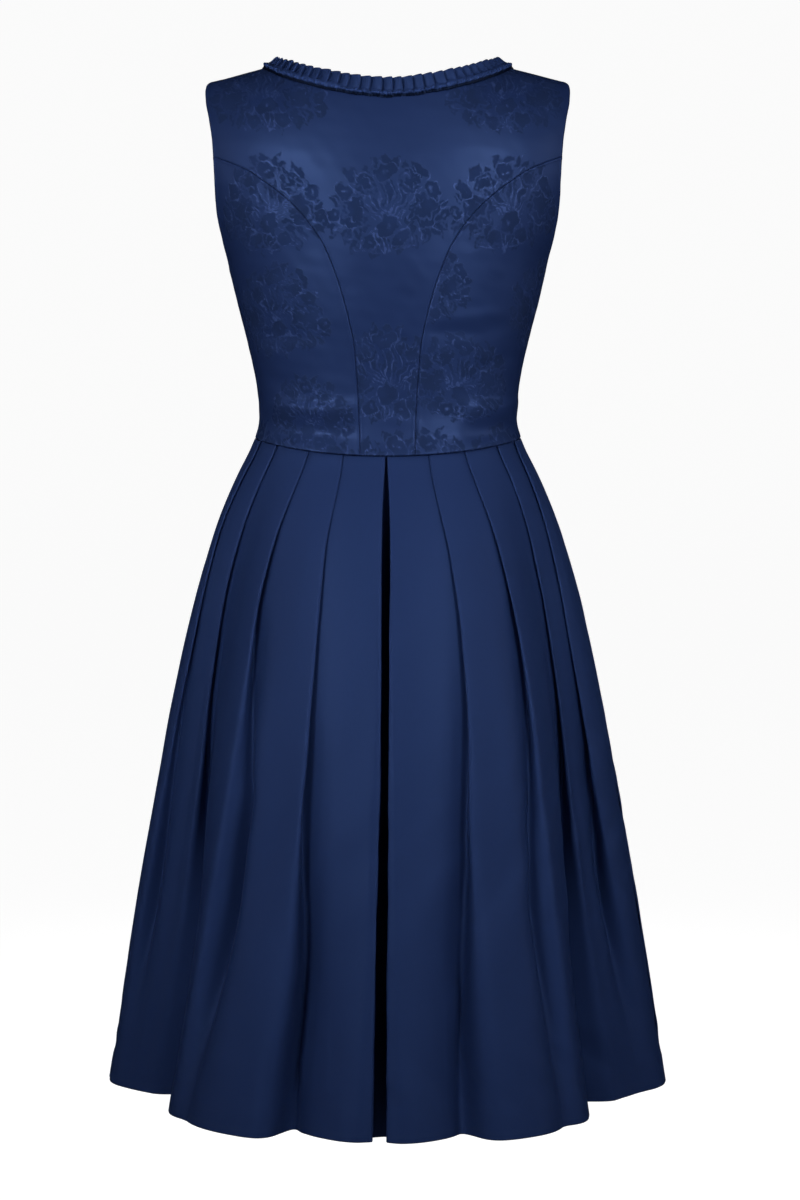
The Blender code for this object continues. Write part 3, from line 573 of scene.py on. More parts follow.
#   leaves: from across, from up, to across, to up, half width
LEAVES = (
    (3, 0, 7, 24, 4.2), (9, 0, 17, 14, 4.0), (29, 13, 33, 27, 4.6), (30, 28, 27, 42, 4.4),
    (11, 29, 12, 44, 4.2), (36, 25, 37, 36, 4.0), (47, 2, 56, 5, 4.4),
    (50, -16, 60, -22, 5.0), (44, -17, 53, -31, 5.4), (33, -20, 39, -37, 5.4),
    (24, -29, 32, -42, 5.0), (8, -36, 12, -49, 4.6), (2, -29, 3, -42, 4.6), (17, -13, 23, -24, 4.6),
    (0.5, 41, 0.5, 50, 3.4), (9, 37, 16, 48, 3.4), (19, 31, 20, 40, 3.4),
    (14, -6, 18, 3, 3.2), (36, 14, 44, 11, 3.2), (27, -22, 24, -30, 3.2), (0, 4, 0, 22, 3.0),
)
#   stems: start, bend, end, half width
STEMS = (
    ((0.6, -46), (1, -38), (3, -30), 0.85), ((2, -44), (9, -28), (22, -20), 0.85),
    ((4, -42), (16, -46), (30, -37), 0.75), ((1, -8), (4, 6), (3, 25), 0.95), ((2, -7), (10, 4), (13, 25), 1.05),
    ((4, -8), (15, 2), (19, 12), 0.95), ((6, -10), (17, -2), (34, 24), 1.05), ((9, -12), (24, 6), (40, 14), 0.95),
    ((12, -13), (17, -8), (22, 2), 0.85), ((22, 12), (29, 18), (28, 36), 0.8), ((30, 13), (38, 20), (40, 30), 0.8),
    ((46, 2), (50, 5), (56, 8), 0.8), ((45, -12), (52, -14), (60, -8), 0.8), ((38, -18), (46, -22), (51, -23), 0.8),
    ((10, 28), (15, 36), (14, 45), 0.75), ((8, -22), (19, -24), (26, -36), 0.95), ((28, -19), (30, -27), (37, -31), 0.8),
)


def bouquet(a, b, seed):
    """Signed distances in millimetres to the dull figure and to the bright lines of one bouquet."""
    # no two bouquets of a soft cloth look quite alike, and the two halves of one differ a little
    wa = 2.3 * np.sin(b * 0.081 + seed) + 1.6 * np.sin(b * 0.23 + a * 0.06 + seed * 2.3)
    wa = wa + 1.1 * np.sin(a * 0.43 + b * 0.31 + seed * 1.3)
    wb = 2.1 * np.sin(a * 0.072 + seed * 1.7) + 1.6 * np.sin(a * 0.21 - b * 0.08 + seed * 0.9)
    wb = wb + 1.1 * np.sin(b * 0.47 - a * 0.27 + seed * 3.1)
    fine = np.sin(a * 1.13 + b * 0.42 + seed) * np.sin(b * 0.97 - a * 0.37 + seed * 2.0)
    patch_noise = np.sin(a * 0.17 + b * 0.10 + seed * 1.9) * np.sin(b * 0.15 - a * 0.08 + seed * 0.7)
    a, b = np.abs(a + wa), b + wb
    figure = np.full(a.shape, 1e3)
    lines = np.full(a.shape, 1e3)
    for row in LEAVES:
        figure = np.minimum(figure, leaf(a, b, *row))
        if row[4] > 4.5:
            lines = np.minimum(lines, vein(a, b, *row[:4], 0.40) + 0.3)
    for p0, p1, p2, half in STEMS:
        lines = np.minimum(lines, stem(a, b, p0, p1, p2, half * 0.8))
    for cx, cy, r, n, turn in BLOOMS:
        whole = bloom(a, b, cx, cy, r, n, turn, 0.20)
        figure = np.minimum(figure, whole)
        lines = np.maximum(lines, -(whole + 0.2))
        # a bright outline round part of it, and one turned petal or two within
        outline = np.abs(whole - 0.3) - 0.75 + 0.9 * np.maximum(0, patch_noise + 0.15)
        th = np.arctan2(b - cy, a - cx)
        far = np.hypot(a - cx, b - cy)
        if r > 11:
            within = np.abs(bloom(a, b, cx, cy, r * 0.58, n - 2, turn + 1.1, 0.34)) - 0.65
            within = within + 1.3 * np.maximum(0, np.sin(th * 1.5 + turn * 3 + seed))
            petal = np.abs(np.sin(n * th / 2 + turn)) * far / n * 2
            ribs = np.maximum(petal - 0.45, np.maximum(r * 0.62 - far, whole + 1.5))
            within = np.minimum(within, ribs + 0.8 * np.maximum(0, np.sin(th + turn * 5)))
        else:
            within = far - 1.3 + 1.2 * max(0.0, math.sin(seed * 3 + cx))
        lines = np.minimum(lines, np.minimum(outline, within))
    figure = np.maximum(figure, -(lines - 0.30))
    return figure + 0.9 * fine + 1.0 * patch_noise, lines + 0.35 * fine + 0.25


def damask(u, v, places):
    """The figure over a panel, as signed distances in millimetres. places are (u, v, scale)."""
    figure = np.full(u.shape, 20.0)
    lines = np.full(u.shape, 20.0)
    for pu, pv, scale in places:
        a, b = (u - pu) * 1000 / scale, (v - pv) * 1000 / scale
        near = (np.abs(a) < 66) & (b > -52) & (b < 52)
        if near.any():
            f, l = bouquet(a[near], b[near], pu * 61.0 + pv * 37.0)
            figure[near] = np.minimum(figure[near], f)
            lines[near] = np.minimum(lines[near], l)
    return np.clip(figure, -5, 5), np.clip(lines, -5, 5)


# ------------------------------------------------------------ meshes
def normals(p):
    d0 = np.gradient(p, axis=0)
    d1 = np.gradient(p, axis=1)
    n = np.cross(d1, d0)
    size = np.linalg.norm(n, axis=-1, keepdims=True)
    n = n / np.maximum(size, 1e-12)
    return n


def shell(name, outer, inner, step_rows, step_cols, values, material, flip):
    """A closed thin shell: a fine outer face, an inner one of fewer facets, and the edge between them."""
    rows, cols = outer.shape[:2]
    keep = np.zeros((rows, cols), bool)
    keep[0] = keep[-1] = True
    keep[:, 0] = keep[:, -1] = True
    rr = sorted(set(range(0, rows, step_rows)) | {rows - 1})
    cc = sorted(set(range(0, cols, step_cols)) | {cols - 1})
    if len(rr) > 2 and rr[-1] - rr[-2] < step_rows / 2:
        rr.pop(-2)
    if len(cc) > 2 and cc[-1] - cc[-2] < step_cols / 2:
        cc.pop(-2)
    keep[np.ix_(rr, cc)] = True
    index = np.full((rows, cols), -1)
    index[keep] = rows * cols + np.arange(keep.sum())
    grid = np.arange(rows * cols).reshape(rows, cols)
    a, b, c, d = grid[:-1, :-1], grid[:-1, 1:], grid[1:, 1:], grid[1:, :-1]
    quads = np.stack([a, d, c, b] if flip else [a, b, c, d], axis=-1).reshape(-1, 4)
    faces = quads.tolist()
    for i0, i1 in zip(rr[:-1], rr[1:]):
        for j0, j1 in zip(cc[:-1], cc[1:]):
            top = list(index[i0, j0 : j1 + 1]) if i0 == 0 else [index[i0, j0], index[i0, j1]]
            right = list(index[i0 : i1 + 1, j1]) if j1 == cols - 1 else [index[i0, j1], index[i1, j1]]
            low = list(index[i1, j0 : j1 + 1]) if i1 == rows - 1 else [index[i1, j0], index[i1, j1]]
            left = list(index[i0 : i1 + 1, j0]) if j0 == 0 else [index[i0, j0], index[i1, j0]]
            loop = top[:-1] + right[:-1] + low[::-1][:-1] + left[::-1][:-1]
            loop = [int(k) for k in loop]
            faces.append(loop if flip else loop[::-1])
    rim = [(0, j) for j in range(cols)] + [(i, cols - 1) for i in range(1, rows)]
    rim += [(rows - 1, j) for j in range(cols - 2, -1, -1)] + [(i, 0) for i in range(rows - 2, 0, -1)]
    for (i0, j0), (i1, j1) in zip(rim, rim[1:] + rim[:1]):
        q = [int(grid[i0, j0]), int(index[i0, j0]), int(index[i1, j1]), int(grid[i1, j1])]
        faces.append(q[::-1] if flip else q)
    verts = np.concatenate([outer.reshape(-1, 3), inner[keep]])
    mesh = bpy.data.meshes.new(name)
    mesh.from_pydata(verts.tolist(), [], faces)
    mesh.validate()
    for key, v in values.items():
        v = np.asarray(v)
        full = np.concatenate([v.reshape(rows * cols, -1), v[keep].reshape(keep.sum(), -1)])
        if full.shape[1] == 1:
            at = mesh.attributes.new(key, "FLOAT", "POINT")
            at.data.foreach_set("value", full.astype(np.float32).ravel())
        else:
            at = mesh.attributes.new(key, "FLOAT_VECTOR", "POINT")
            at.data.foreach_set("vector", full.astype(np.float32).ravel())
    mesh.shade_smooth()
    mesh.materials.append(material)
    ob = bpy.data.objects.new(name, mesh)
    bpy.context.scene.collection.objects.link(ob)
    return ob


def tri_count(ob):
    return sum(len(p.vertices) - 2 for p in ob.data.polygons)


# ------------------------------------------------------------ materials
class Nodes:
    """A short way to lay out a material's nodes."""

    def __init__(self, name):
        self.m = bpy.data.materials.new(name)
        self.m.use_nodes = True
        self.t = self.m.node_tree
        self.shader = self.t.nodes["Principled BSDF"]

    def add(self, kind, **settings):
        n = self.t.nodes.new(kind)
        for key, value in settings.items():
            setattr(n, key, value)
        return n

    def put(self, value, socket):
        if isinstance(value, (int, float)):
            socket.default_value = value
        elif isinstance(value, (tuple, list)):
            socket.default_value = (*value, 1.0) if len(socket.default_value) == 4 and len(value) == 3 else value
        else:
            self.t.links.new(value, socket)

    def attribute(self, name, vector=False):
        n = self.add("ShaderNodeAttribute", attribute_name=name, attribute_type="GEOMETRY")
        return n.outputs["Vector" if vector else "Fac"]

    def math(self, op, a, b=0.0, c=0.0, clamp=False):
        n = self.add("ShaderNodeMath", operation=op, use_clamp=clamp)
        for value, socket in zip((a, b, c), n.inputs):
            self.put(value, socket)
        return n.outputs[0]

    def step(self, value, low, high, to_low=0.0, to_high=1.0):
        n = self.add("ShaderNodeMapRange", interpolation_type="SMOOTHSTEP")
        self.put(value, n.inputs["Value"])
        for key, v in (("From Min", low), ("From Max", high), ("To Min", to_low), ("To Max", to_high)):
            self.put(v, n.inputs[key])
        return n.outputs["Result"]

    def mix(self, share, a, b):
        n = self.add("ShaderNodeMix", data_type="RGBA")
        self.put(share, n.inputs[0])
        self.put(a, n.inputs[6])
        self.put(b, n.inputs[7])
        return n.outputs[2]

    def blend(self, share, a, b):
        n = self.add("ShaderNodeMix", data_type="FLOAT")
        self.put(share, n.inputs[0])
        self.put(a, n.inputs[2])
        self.put(b, n.inputs[3])
        return n.outputs[0]

    def scaled(self, vector, scale, turn=0.0):
        n = self.add("ShaderNodeMapping")
        self.put(vector, n.inputs["Vector"])
        n.inputs["Scale"].default_value = scale
        n.inputs["Rotation"].default_value = (0, 0, turn)
        return n.outputs["Vector"]

    def part(self, vector, axis):
        n = self.add("ShaderNodeSeparateXYZ")
        self.put(vector, n.inputs[0])
        return n.outputs[axis]

    def noise(self, vector, scale, detail=2.0, rough=0.5):
        n = self.add("ShaderNodeTexNoise")
        self.put(vector, n.inputs["Vector"])
        n.inputs["Scale"].default_value = scale
        n.inputs["Detail"].default_value = detail
        n.inputs["Roughness"].default_value = rough
        return n.outputs["Fac"]

    def waves(self, vector, scale, axis="X"):
        n = self.add("ShaderNodeTexWave", wave_type="BANDS", bands_direction=axis, wave_profile="SIN")
        self.put(vector, n.inputs["Vector"])
        n.inputs["Scale"].default_value = scale
        return n.outputs["Fac"]

    def bump(self, height, strength, distance, normal=None):
        n = self.add("ShaderNodeBump")
        self.put(height, n.inputs["Height"])
        n.inputs["Strength"].default_value = strength
        n.inputs["Distance"].default_value = distance
        if normal is not None:
            self.put(normal, n.inputs["Normal"])
        return n.outputs["Normal"]

    def finish(self, **sockets):
        for key, value in sockets.items():
            self.put(value, self.shader.inputs[key.replace("_", " ")])
        return self.m


def damask_cloth(name):
    n = Nodes(name)
    place = n.attribute("cloth", vector=True)
    uneven = n.math("MULTIPLY", n.math("SUBTRACT", n.noise(place, 160.0, 3.0, 0.62), 0.5), 2.6)
    figure = n.step(n.math("ADD", n.attribute("figure"), uneven), 0.95, -0.95)
    lines = n.step(n.math("ADD", n.attribute("lines"), uneven), 0.40, -0.50)
    cloud = n.noise(place, 26.0, 3.0, 0.55)
    threads = n.noise(n.scaled(place, (420.0, 2600.0, 1.0)), 1.0, 2.0, 0.6)
    twill = n.waves(n.scaled(place, (1.0, 1.0, 1.0), 0.42), 310.0, "X")
    ground = n.mix(cloud, tuple(c * 0.88 for c in NAVY["ground"]), tuple(c * 1.12 for c in NAVY["ground"]))
    worn = n.step(n.noise(place, 42.0, 2.0, 0.5), 0.36, 0.60)
    colour = n.mix(n.math("MULTIPLY", figure, n.blend(worn, 0.45, 1.0)), ground, NAVY["figure"])
    lines = n.math("MULTIPLY", lines, n.blend(n.step(n.noise(place, 75.0, 2.0, 0.5), 0.36, 0.56), 0.25, 1.0))
    colour = n.mix(n.math("MULTIPLY", lines, 0.95), colour, NAVY["line"])
    colour = n.mix(n.math("MULTIPLY", threads, 0.22), colour, tuple(c * 0.6 for c in NAVY["ground"]))
    rough = n.blend(figure, 0.44, 0.74)
    rough = n.blend(n.math("MULTIPLY", lines, 0.8), rough, 0.40)
    rough = n.math("ADD", rough, n.math("MULTIPLY", n.math("SUBTRACT", cloud, 0.5), 0.10))
    relief = n.math("ADD", n.math("MULTIPLY", figure, 0.55), n.math("MULTIPLY", lines, 0.8))
    relief = n.math("ADD", relief, n.math("MULTIPLY", threads, 0.30))
    relief = n.math("ADD", relief, n.math("MULTIPLY", n.math("MULTIPLY", twill, figure), 0.22))
    return n.finish(
        Base_Color=colour, Roughness=rough, Normal=n.bump(relief, 0.55, 0.00022),
        Specular_IOR_Level=0.60, Specular_Tint=NAVY["shine"],
    )


def skirt_cloth(name):
    n = Nodes(name)
    place = n.attribute("cloth", vector=True)
    cloud = n.noise(n.scaled(place, (1.0, 0.45, 1.0)), 14.0, 3.0, 0.55)
    slub = n.noise(n.scaled(place, (1500.0, 90.0, 1.0)), 1.0, 2.0, 0.55)
    weft = n.noise(n.scaled(place, (110.0, 1700.0, 1.0)), 1.0, 2.0, 0.55)
    twill = n.waves(n.scaled(place, (1.0, 1.0, 1.0), 0.60), 260.0, "X")
    colour = n.mix(cloud, NAVY["skirt_dark"], NAVY["skirt"])
    colour = n.mix(n.math("MULTIPLY", slub, 0.25), colour, tuple(c * 0.55 for c in NAVY["skirt"]))
    rough = n.math("ADD", 0.47, n.math("MULTIPLY", n.math("SUBTRACT", cloud, 0.5), 0.10))
    relief = n.math("ADD", n.math("MULTIPLY", slub, 0.5), n.math("MULTIPLY", weft, 0.4))
    relief = n.math("ADD", relief, n.math("MULTIPLY", twill, 0.25))
    return n.finish(
        Base_Color=colour, Roughness=rough, Normal=n.bump(relief, 0.5, 0.00022),
        Specular_IOR_Level=0.20, Specular_Tint=NAVY["shine"],
    )


def ribbon_cloth(name):
    n = Nodes(name)
    place = n.attribute("cloth", vector=True)
    cloud = n.noise(place, 60.0, 3.0, 0.6)
    threads = n.noise(n.scaled(place, (2200.0, 260.0, 1.0)), 1.0, 2.0, 0.55)
    crush = n.noise(n.scaled(place, (1.0, 0.5, 1.0)), 420.0, 3.0, 0.6)
    up = n.part(place, "Y")
    colour = n.mix(cloud, tuple(c * 0.85 for c in NAVY["ribbon"]), tuple(c * 1.2 for c in NAVY["ribbon"]))
    # painted highlight: light specks on the crumpled lip below the stitching; a painted shadow darkens the strip
    # turned under the lip
    lip_painted_highlight = n.math("MULTIPLY", n.step(up, -0.0066, -0.0090), n.step(crush, 0.42, 0.66))
    colour = n.mix(lip_painted_highlight, colour, tuple(c * 2.0 for c in NAVY["ribbon"]))
    # painted shadow under the lip: the turned-under strip is made much darker than the ribbon
    colour = n.mix(n.step(up, -0.0102, -0.0106), colour, tuple(c * 0.12 for c in NAVY["ribbon"]))
    rough = n.math("ADD", 0.34, n.math("MULTIPLY", cloud, 0.14))
    relief = n.math("ADD", n.math("MULTIPLY", threads, 0.35), n.math("MULTIPLY", crush, 1.0))
    return n.finish(
        Base_Color=colour, Roughness=rough, Normal=n.bump(relief, 0.5, 0.0004),
        Specular_IOR_Level=0.30, Specular_Tint=NAVY["shine"],
    )


# =============================================================== bodice
def crease_field(face, p):
    rows = CREASES_BACK if face < 0 else CREASES_FRONT
    x, z = p[..., 0], p[..., 2]
    total = np.zeros(x.shape)
    for cx, cz, half, rise, above, below, slope in rows:
        dx = x - cx
        dz = z - cz - slope * dx - 0.0016 * np.sin(dx * 70 + cx * 300)
        soft = np.where(dz > 0, above, below)
        fade = np.exp(-((dx / half) ** 4))
        total += rise * fade * np.exp(-((dz / soft) ** 2) / 2)
    total += 0.00020 * ripple(x, z, waves=11.0, seed=5 if face < 0 else 6)
    total += 0.00014 * ripple(x, z, waves=30.0, seed=8)
    return total


def to_edges(p):
    """Distance along the cloth from each grid point to its four edges."""
    across = np.linalg.norm(np.diff(p, axis=1), axis=-1)
    down = np.linalg.norm(np.diff(p, axis=0), axis=-1)
    left = np.concatenate([np.zeros((p.shape[0], 1)), np.cumsum(across, axis=1)], axis=1)
    top = np.concatenate([np.zeros((1, p.shape[1])), np.cumsum(down, axis=0)], axis=0)
    return left, left[:, -1:] - left, top, top[-1:] - top


def rolled(distance, width, depth):
    """How far the face falls away towards an edge that is turned under."""
    t = np.clip(distance / width, 0, 1)
    return depth * (1 - np.sqrt(np.clip(1 - (1 - t) ** 2, 0, 1)))


def bodice_piece(name, face, qh, places, material, edges, flip):
    q, h = qh[..., 0], qh[..., 1]
    p = torso(face, q, h)
    n = outward(face, q, h, p)
    bump = crease_field(face, p)
    left, right, top, low = to_edges(p)
    fall = np.zeros(q.shape)
    for distance, key in ((left, 0), (right, 1), (top, 2), (low, 3)):
        if edges[key]:
            fall = np.maximum(fall, rolled(distance, *edges[key]))
    # the cloth lies a little proud beside a seam
    pad = sum(
        0.00025 * np.exp(-((d - 0.0026) / 0.0016) ** 2) for d, k in ((left, 0), (right, 1)) if edges[k]
    )
    lift = np.exp(-((low / 0.009) ** 2)) * 0.0009
    outer = p + n * (bump - fall + pad + lift)[..., None]
    inner = p + n * (bump - BODICE_CLOTH)[..., None]
    u, v = cloth_place(face, q, h)
    spots = []
    for x, z, scale in places:
        sq, sh = across_of(x, z), climb_of(x, z)
        su, sv = cloth_place(face, np.array([float(sq)]), np.array([float(sh)]))
        spots.append((float(su[0]), float(sv[0]), scale))
    figure, lines = damask(u, v, spots)
    values = {"figure": figure, "lines": lines, "cloth": np.stack([u, v, np.zeros_like(u)], -1)}
    ob = shell(name, outer, inner, 8, 8, values, material, flip)
    area = float(
        np.sum(np.linalg.norm(np.cross(p[1:, :-1] - p[:-1, :-1], p[:-1, 1:] - p[:-1, :-1]), axis=-1))
    )
    return ob, area, (float(np.ptp(u)), float(np.ptp(v)))


SEAM, FREE, HEM = (0.0019, 0.00115), (0.0013, 0.00065), (0.0016, 0.0008)


def flipped(qh):
    out = qh[:, ::-1].copy()
    out[..., 0] *= -1
    return out


def build_bodice():
    made = []
    half = back_centre_half(WIDE_CELL)
    whole = np.concatenate([flipped(half), half[:, 1:]], axis=1)
    made.append(("bodice_back", bodice_piece(
        "bodice_back_cloth", -1, whole, BOUQUETS_BACK, damask_cloth("Damask back"),
        (SEAM, SEAM, FREE, HEM), True)))
    side = side_panel(-1, CELL)
    made.append(("bodice_side_back_right", bodice_piece(
        "bodice_side_back_right_cloth", -1, side, BOUQUETS_SIDE_BACK_RIGHT,
        damask_cloth("Damask side back right"), (SEAM, SEAM, SEAM, HEM), True)))
    made.append(("bodice_side_back_left", bodice_piece(
        "bodice_side_back_left_cloth", -1, flipped(side), BOUQUETS_SIDE_BACK_LEFT,
        damask_cloth("Damask side back left"), (SEAM, SEAM, SEAM, HEM), True)))
    half = front_centre_half(WIDE_CELL)
    made.append(("bodice_front_right", bodice_piece(
        "bodice_front_right_cloth", 1, half, BOUQUETS_FRONT, damask_cloth("Damask front right"),
        (SEAM, SEAM, FREE, HEM), False)))
    made.append(("bodice_front_left", bodice_piece(
        "bodice_front_left_cloth", 1, flipped(half), BOUQUETS_FRONT, damask_cloth("Damask front left"),
        (SEAM, SEAM, FREE, HEM), False)))
    side = side_panel(1, WIDE_CELL)
    made.append(("bodice_side_front_right", bodice_piece(
        "bodice_side_front_right_cloth", 1, side, BOUQUETS_SIDE_FRONT,
        damask_cloth("Damask side front right"), (SEAM, SEAM, SEAM, HEM), False)))
    made.append(("bodice_side_front_left", bodice_piece(
        "bodice_side_front_left_cloth", 1, flipped(side), BOUQUETS_SIDE_FRONT,
        damask_cloth("Damask side front left"), (SEAM, SEAM, SEAM, HEM), False)))
    return made


# =============================================================== skirt
def quarter(folds, front, right):
    rows = []
    for angle, hem_x, hem_y, under, soft_edge, soft_valley in folds:
        a = math.radians(angle)
        sx, sy = (1 if right else -1), (1 if front else -1)
        depth = WAIST_FRONT if front else WAIST_BACK
        rows.append((
            sx * WAIST_HALF_WIDTH * math.sin(a), sy * depth * math.cos(a),
            sx * hem_x, sy * hem_y, under, soft_edge, soft_valley,
        ))
    return rows


def all_folds():
    br = quarter(FOLDS_BACK_RIGHT, False, True)
    fr = quarter(FOLDS_FRONT_RIGHT, True, True)
    fl = quarter(FOLDS_FRONT_LEFT, True, False)
    bl = quarter(FOLDS_BACK_LEFT, False, False)
    return br + fr[::-1] + fl + bl[::-1]


def ring(points, steps=40):
    p = np.asarray(points, float)
    n = len(p)
    chord = np.linalg.norm(np.roll(p, -1, 0) - p, axis=1)
    before = np.roll(chord, 1)
    slope = (
        (p - np.roll(p, 1, 0)) / before[:, None] * chord[:, None]
        + (np.roll(p, -1, 0) - p) / chord[:, None] * before[:, None]
    ) / (chord + before)[:, None]
    out, at = [], []
    for i in range(n):
        j, h = (i + 1) % n, chord[i]
        t = np.linspace(0, 1, steps, endpoint=False)[:, None]
        at.append(len(out))
        out += list(
            (1 + 2 * t) * (1 - t) ** 2 * p[i] + t * (1 - t) ** 2 * h * slope[i]
            + t * t * (3 - 2 * t) * p[j] + t * t * (t - 1) * h * slope[j]
        )
    return np.array(out), at


class Ring:
    """Places given as (distance along the ring, distance out from it)."""

    def __init__(self, points):
        line, at = ring(points)
        closed = np.vstack([line, line[:1]])
        run = run_of(closed)
        self.run, self.closed, self.long = run, closed, run[-1]
        self.at = run[at]
        t = np.roll(line, -1, 0) - np.roll(line, 1, 0)
        for _ in range(6):
            t = (np.roll(t, 1, 0) + 2 * t + np.roll(t, -1, 0)) / 4
        t /= np.linalg.norm(t, axis=1)[:, None]
        out = np.stack([t[:, 1], -t[:, 0]], axis=1)
        self.out = np.vstack([out, out[:1]])

    def place(self, along, out):
        s = np.mod(along, self.long)
        p = np.stack([np.interp(s, self.run, self.closed[:, k]) for k in (0, 1)], -1)
        n = np.stack([np.interp(s, self.run, self.out[:, k]) for k in (0, 1)], -1)
        n = n / np.linalg.norm(n, axis=-1, keepdims=True)
        return p + np.asarray(out)[..., None] * n


def section(t, folds, waist_ring, layer, level):
    """One level of the skirt as a closed run of (along, out, softness kind, fold) corners."""
    pts = [(f[0] * (1 - t) + f[2] * t, f[1] * (1 - t) + f[3] * t) for f in folds]
    r = Ring(pts)
    round_off = 0.0075 * t**1.2
    at = r.at + np.array([float(through(DRIFT[k], level)) if k in DRIFT else 0.0 for k in range(20)])
    slopes = {}

    def knife(i_from, i_to, sign):
        under = folds[i_to][4]
        wide = abs(waist_ring.at[i_to] - waist_ring.at[i_from])
        room = abs(waist_ring.at[2 * i_to - i_from] - waist_ring.at[i_to]) - 0.0098
        under -= max(under - room, 0) * max(1 - t / 0.08, 0)
        a0, a1 = at[i_from], at[i_to]
        c = abs(a1 - a0)
        # the deep folds take up more cloth towards the hem
        under += SPARE.get(i_to, 0.006) * float(smooth(0.35, 0.95, level))
        panel, back = wide + under, under
        total = panel + back
        if c >= 0.995 * total:
            reach, h = c * panel / total, 1.5 * layer
        else:
            whole = min((panel**2 - back**2 + c * c) / (2 * c), panel)
            h = max(math.sqrt(max(panel**2 - whole**2, 0)), 2 * layer)
            # pressed pleats stay shut near the waist and open towards the hem
            h = 2 * layer + (h - 2 * layer) * float(through(OPENING.get(i_to, OPENING[0]), level))
            low = math.sqrt(max(total**2 - c * c, 0)) / 2
            reach = c / 2 + total / 2 * math.sqrt(max(1 - (h / max(low, 1e-6)) ** 2, 0))
        slack = 0.0
        if i_to in (1, 18, 8, 11):
            # the first fold each side of the middle never overhangs near the hem
            reach = min(reach, c * (1.42 - 0.48 * float(smooth(0.30, 0.90, level))))
        if i_to in (2, 17):
            reach = max(reach, 0.885 * c)
        if i_to in SLACK_DEPTH:
            slack = float(through(SLACK, level))
            reach = reach * (1 - slack) + 0.86 * c * slack
            kept = SLACK_DEPTH[i_to] * (0.6 + 0.4 * level)
            kept *= 1 - HEM_FADE.get(i_to, 0) * float(smooth(0.72, 1.0, level))
            h = h * (1 - slack) + min(h, kept) * slack
        is_open = min(max((h - 2 * layer) / 0.010, 0), 1)
        is_open = is_open * is_open * (3 - 2 * is_open)
        long = math.hypot(reach, h)

        def on_panel(length, closed_depth):
            f = length / reach
            return (a0 + sign * length, -h * f - closed_depth * (1 - is_open))

        valley = (a0 + sign * reach, -h)
        tuck = max(reach - c, 0.3 * back)
        k_out = min(round_off, 0.3 * tuck)
        f_in = k_out / long
        start = (a0 + sign * reach * f_in, -h * f_in)
        if i_from in (0, 9, 10, 19):
            turn = ROLL * level**2
            start = (a0 + sign * (reach * f_in + 1.1 * turn), -h * f_in - 0.15 * turn)
        ret = np.array([a1, -layer]) - np.array([valley[0], -h + layer])
        ret_dir = ret / max(np.linalg.norm(ret), 1e-9)
        pan = np.array(valley) - np.array([a0, 0.0])
        pan_dir = pan / np.linalg.norm(pan)
        v_in = np.array(valley) - pan_dir * k_out
        v_out = np.array([valley[0], -h + layer]) + ret_dir * k_out
        r_in = np.array([a1, -layer]) - ret_dir * k_out
        seen = min(c, reach)
        # the seen part bellies out towards the hem
        mid = on_panel(0.42 * seen, 0.0)
        mid = (mid[0], mid[1] * (1 - 0.62 * level) * (1 - 0.7 * slack))
        closing = float(smooth(-0.04, 0.06, 1 - reach / c))
        lead = on_panel((0.80 - 0.04 * (1 - closing) * float(smooth(0.1, 0.3, level))) * seen, 0.0)
        flat_to = STEEP.get(i_to, 0.45) * float(smooth(0.15, 0.45, level))
        lead = (lead[0], lead[1] * (1 - flat_to) * (1 - 0.20 * slack))
        held = (k_out + 0.0024) * float(smooth(0.12, 0.30, level))
        dip = on_panel(min(seen - 0.0006, reach - 0.0006 - held), 2 * layer - h * seen / reach if h * seen / reach < 2 * layer else 0.0)
        dip = (dip[0], dip[1] * (1 - 0.30 * closing * float(smooth(0.4, 0.8, level))))
        slopes[i_from] = h / reach
        return [
            (*start, "edge", i_from), (*mid, "flat", i_from), (*lead, "flat", i_to), (*dip, "dip", i_to),
            (*v_in, "valley", i_to), (*v_out, "valley", i_to), (*r_in, "edge", i_to),
        ]

    def box(i_left, i_right):
        under = 0.5 * (folds[i_left][4] + folds[i_right][4])
        a, b = at[i_left], at[i_right]
        if b < a - r.long / 2:
            b += r.long
        if a > b:
            a -= r.long
        m = (a + b) / 2
        clear = max(slopes[i_left], slopes[i_right]) * under + 2.6 * layer
        turn = ROLL * level**2
        h = max(2 * layer + (0.0300 - 2 * layer) * t, clear) + turn
        under += 0.020 * float(smooth(0.1, 0.9, level))
        out = math.sqrt(max(under**2 - (h - 2 * layer) ** 2, 0.0001)) + (b - a) / 2
        mouth = min((b - a) / 2 + 0.004 + turn, 0.8 * out)
        deep = 0.004 + 0.056 * float(smooth(0.0, 0.35, level)) - 0.050 * float(smooth(0.84, 1.0, level))
        return [
            (a, -layer - 0.6 * turn, "edge", i_left), (m - out, -h + layer, "valley", i_left),
            (m - out, -h, "valley", i_left), (m - mouth, -h, "edge", i_left), (m, -h - deep, "valley", i_left),
            (m + mouth, -h, "edge", i_right), (m + out, -h, "valley", i_right),
            (m + out, -h + layer, "valley", i_right), (b, -layer - 0.6 * turn, "edge", i_right),
        ]

    def side(i, end):
        a = (at[i] + at[i + 1]) / 2
        b = (at[i] + round_off * 0.5) if end == 0 else (at[i + 1] - round_off * 0.5)
        fold = i if end == 0 else i + 1
        line = [(a, 0.0, "flat", fold), ((a + b) / 2, 0.0, "flat", fold), (b, 0.0, "edge", fold)]
        return line

    left_back = [c for k in range(15, 19) for c in knife(k + 1, k, -1)[::-1]]
    right_back = [c for k in range(4) for c in knife(k, k + 1, 1)]
    right_front = [c for k in range(5, 9) for c in knife(k + 1, k, -1)[::-1]]
    left_front = [c for k in range(10, 14) for c in knife(k, k + 1, 1)]
    back = side(14, 1) + left_back + box(19, 0) + right_back + side(4, 0)[::-1]
    front = side(4, 1)[1:] + right_front + box(9, 10) + left_front + side(14, 0)[::-1][:-1]
    return r, back, front


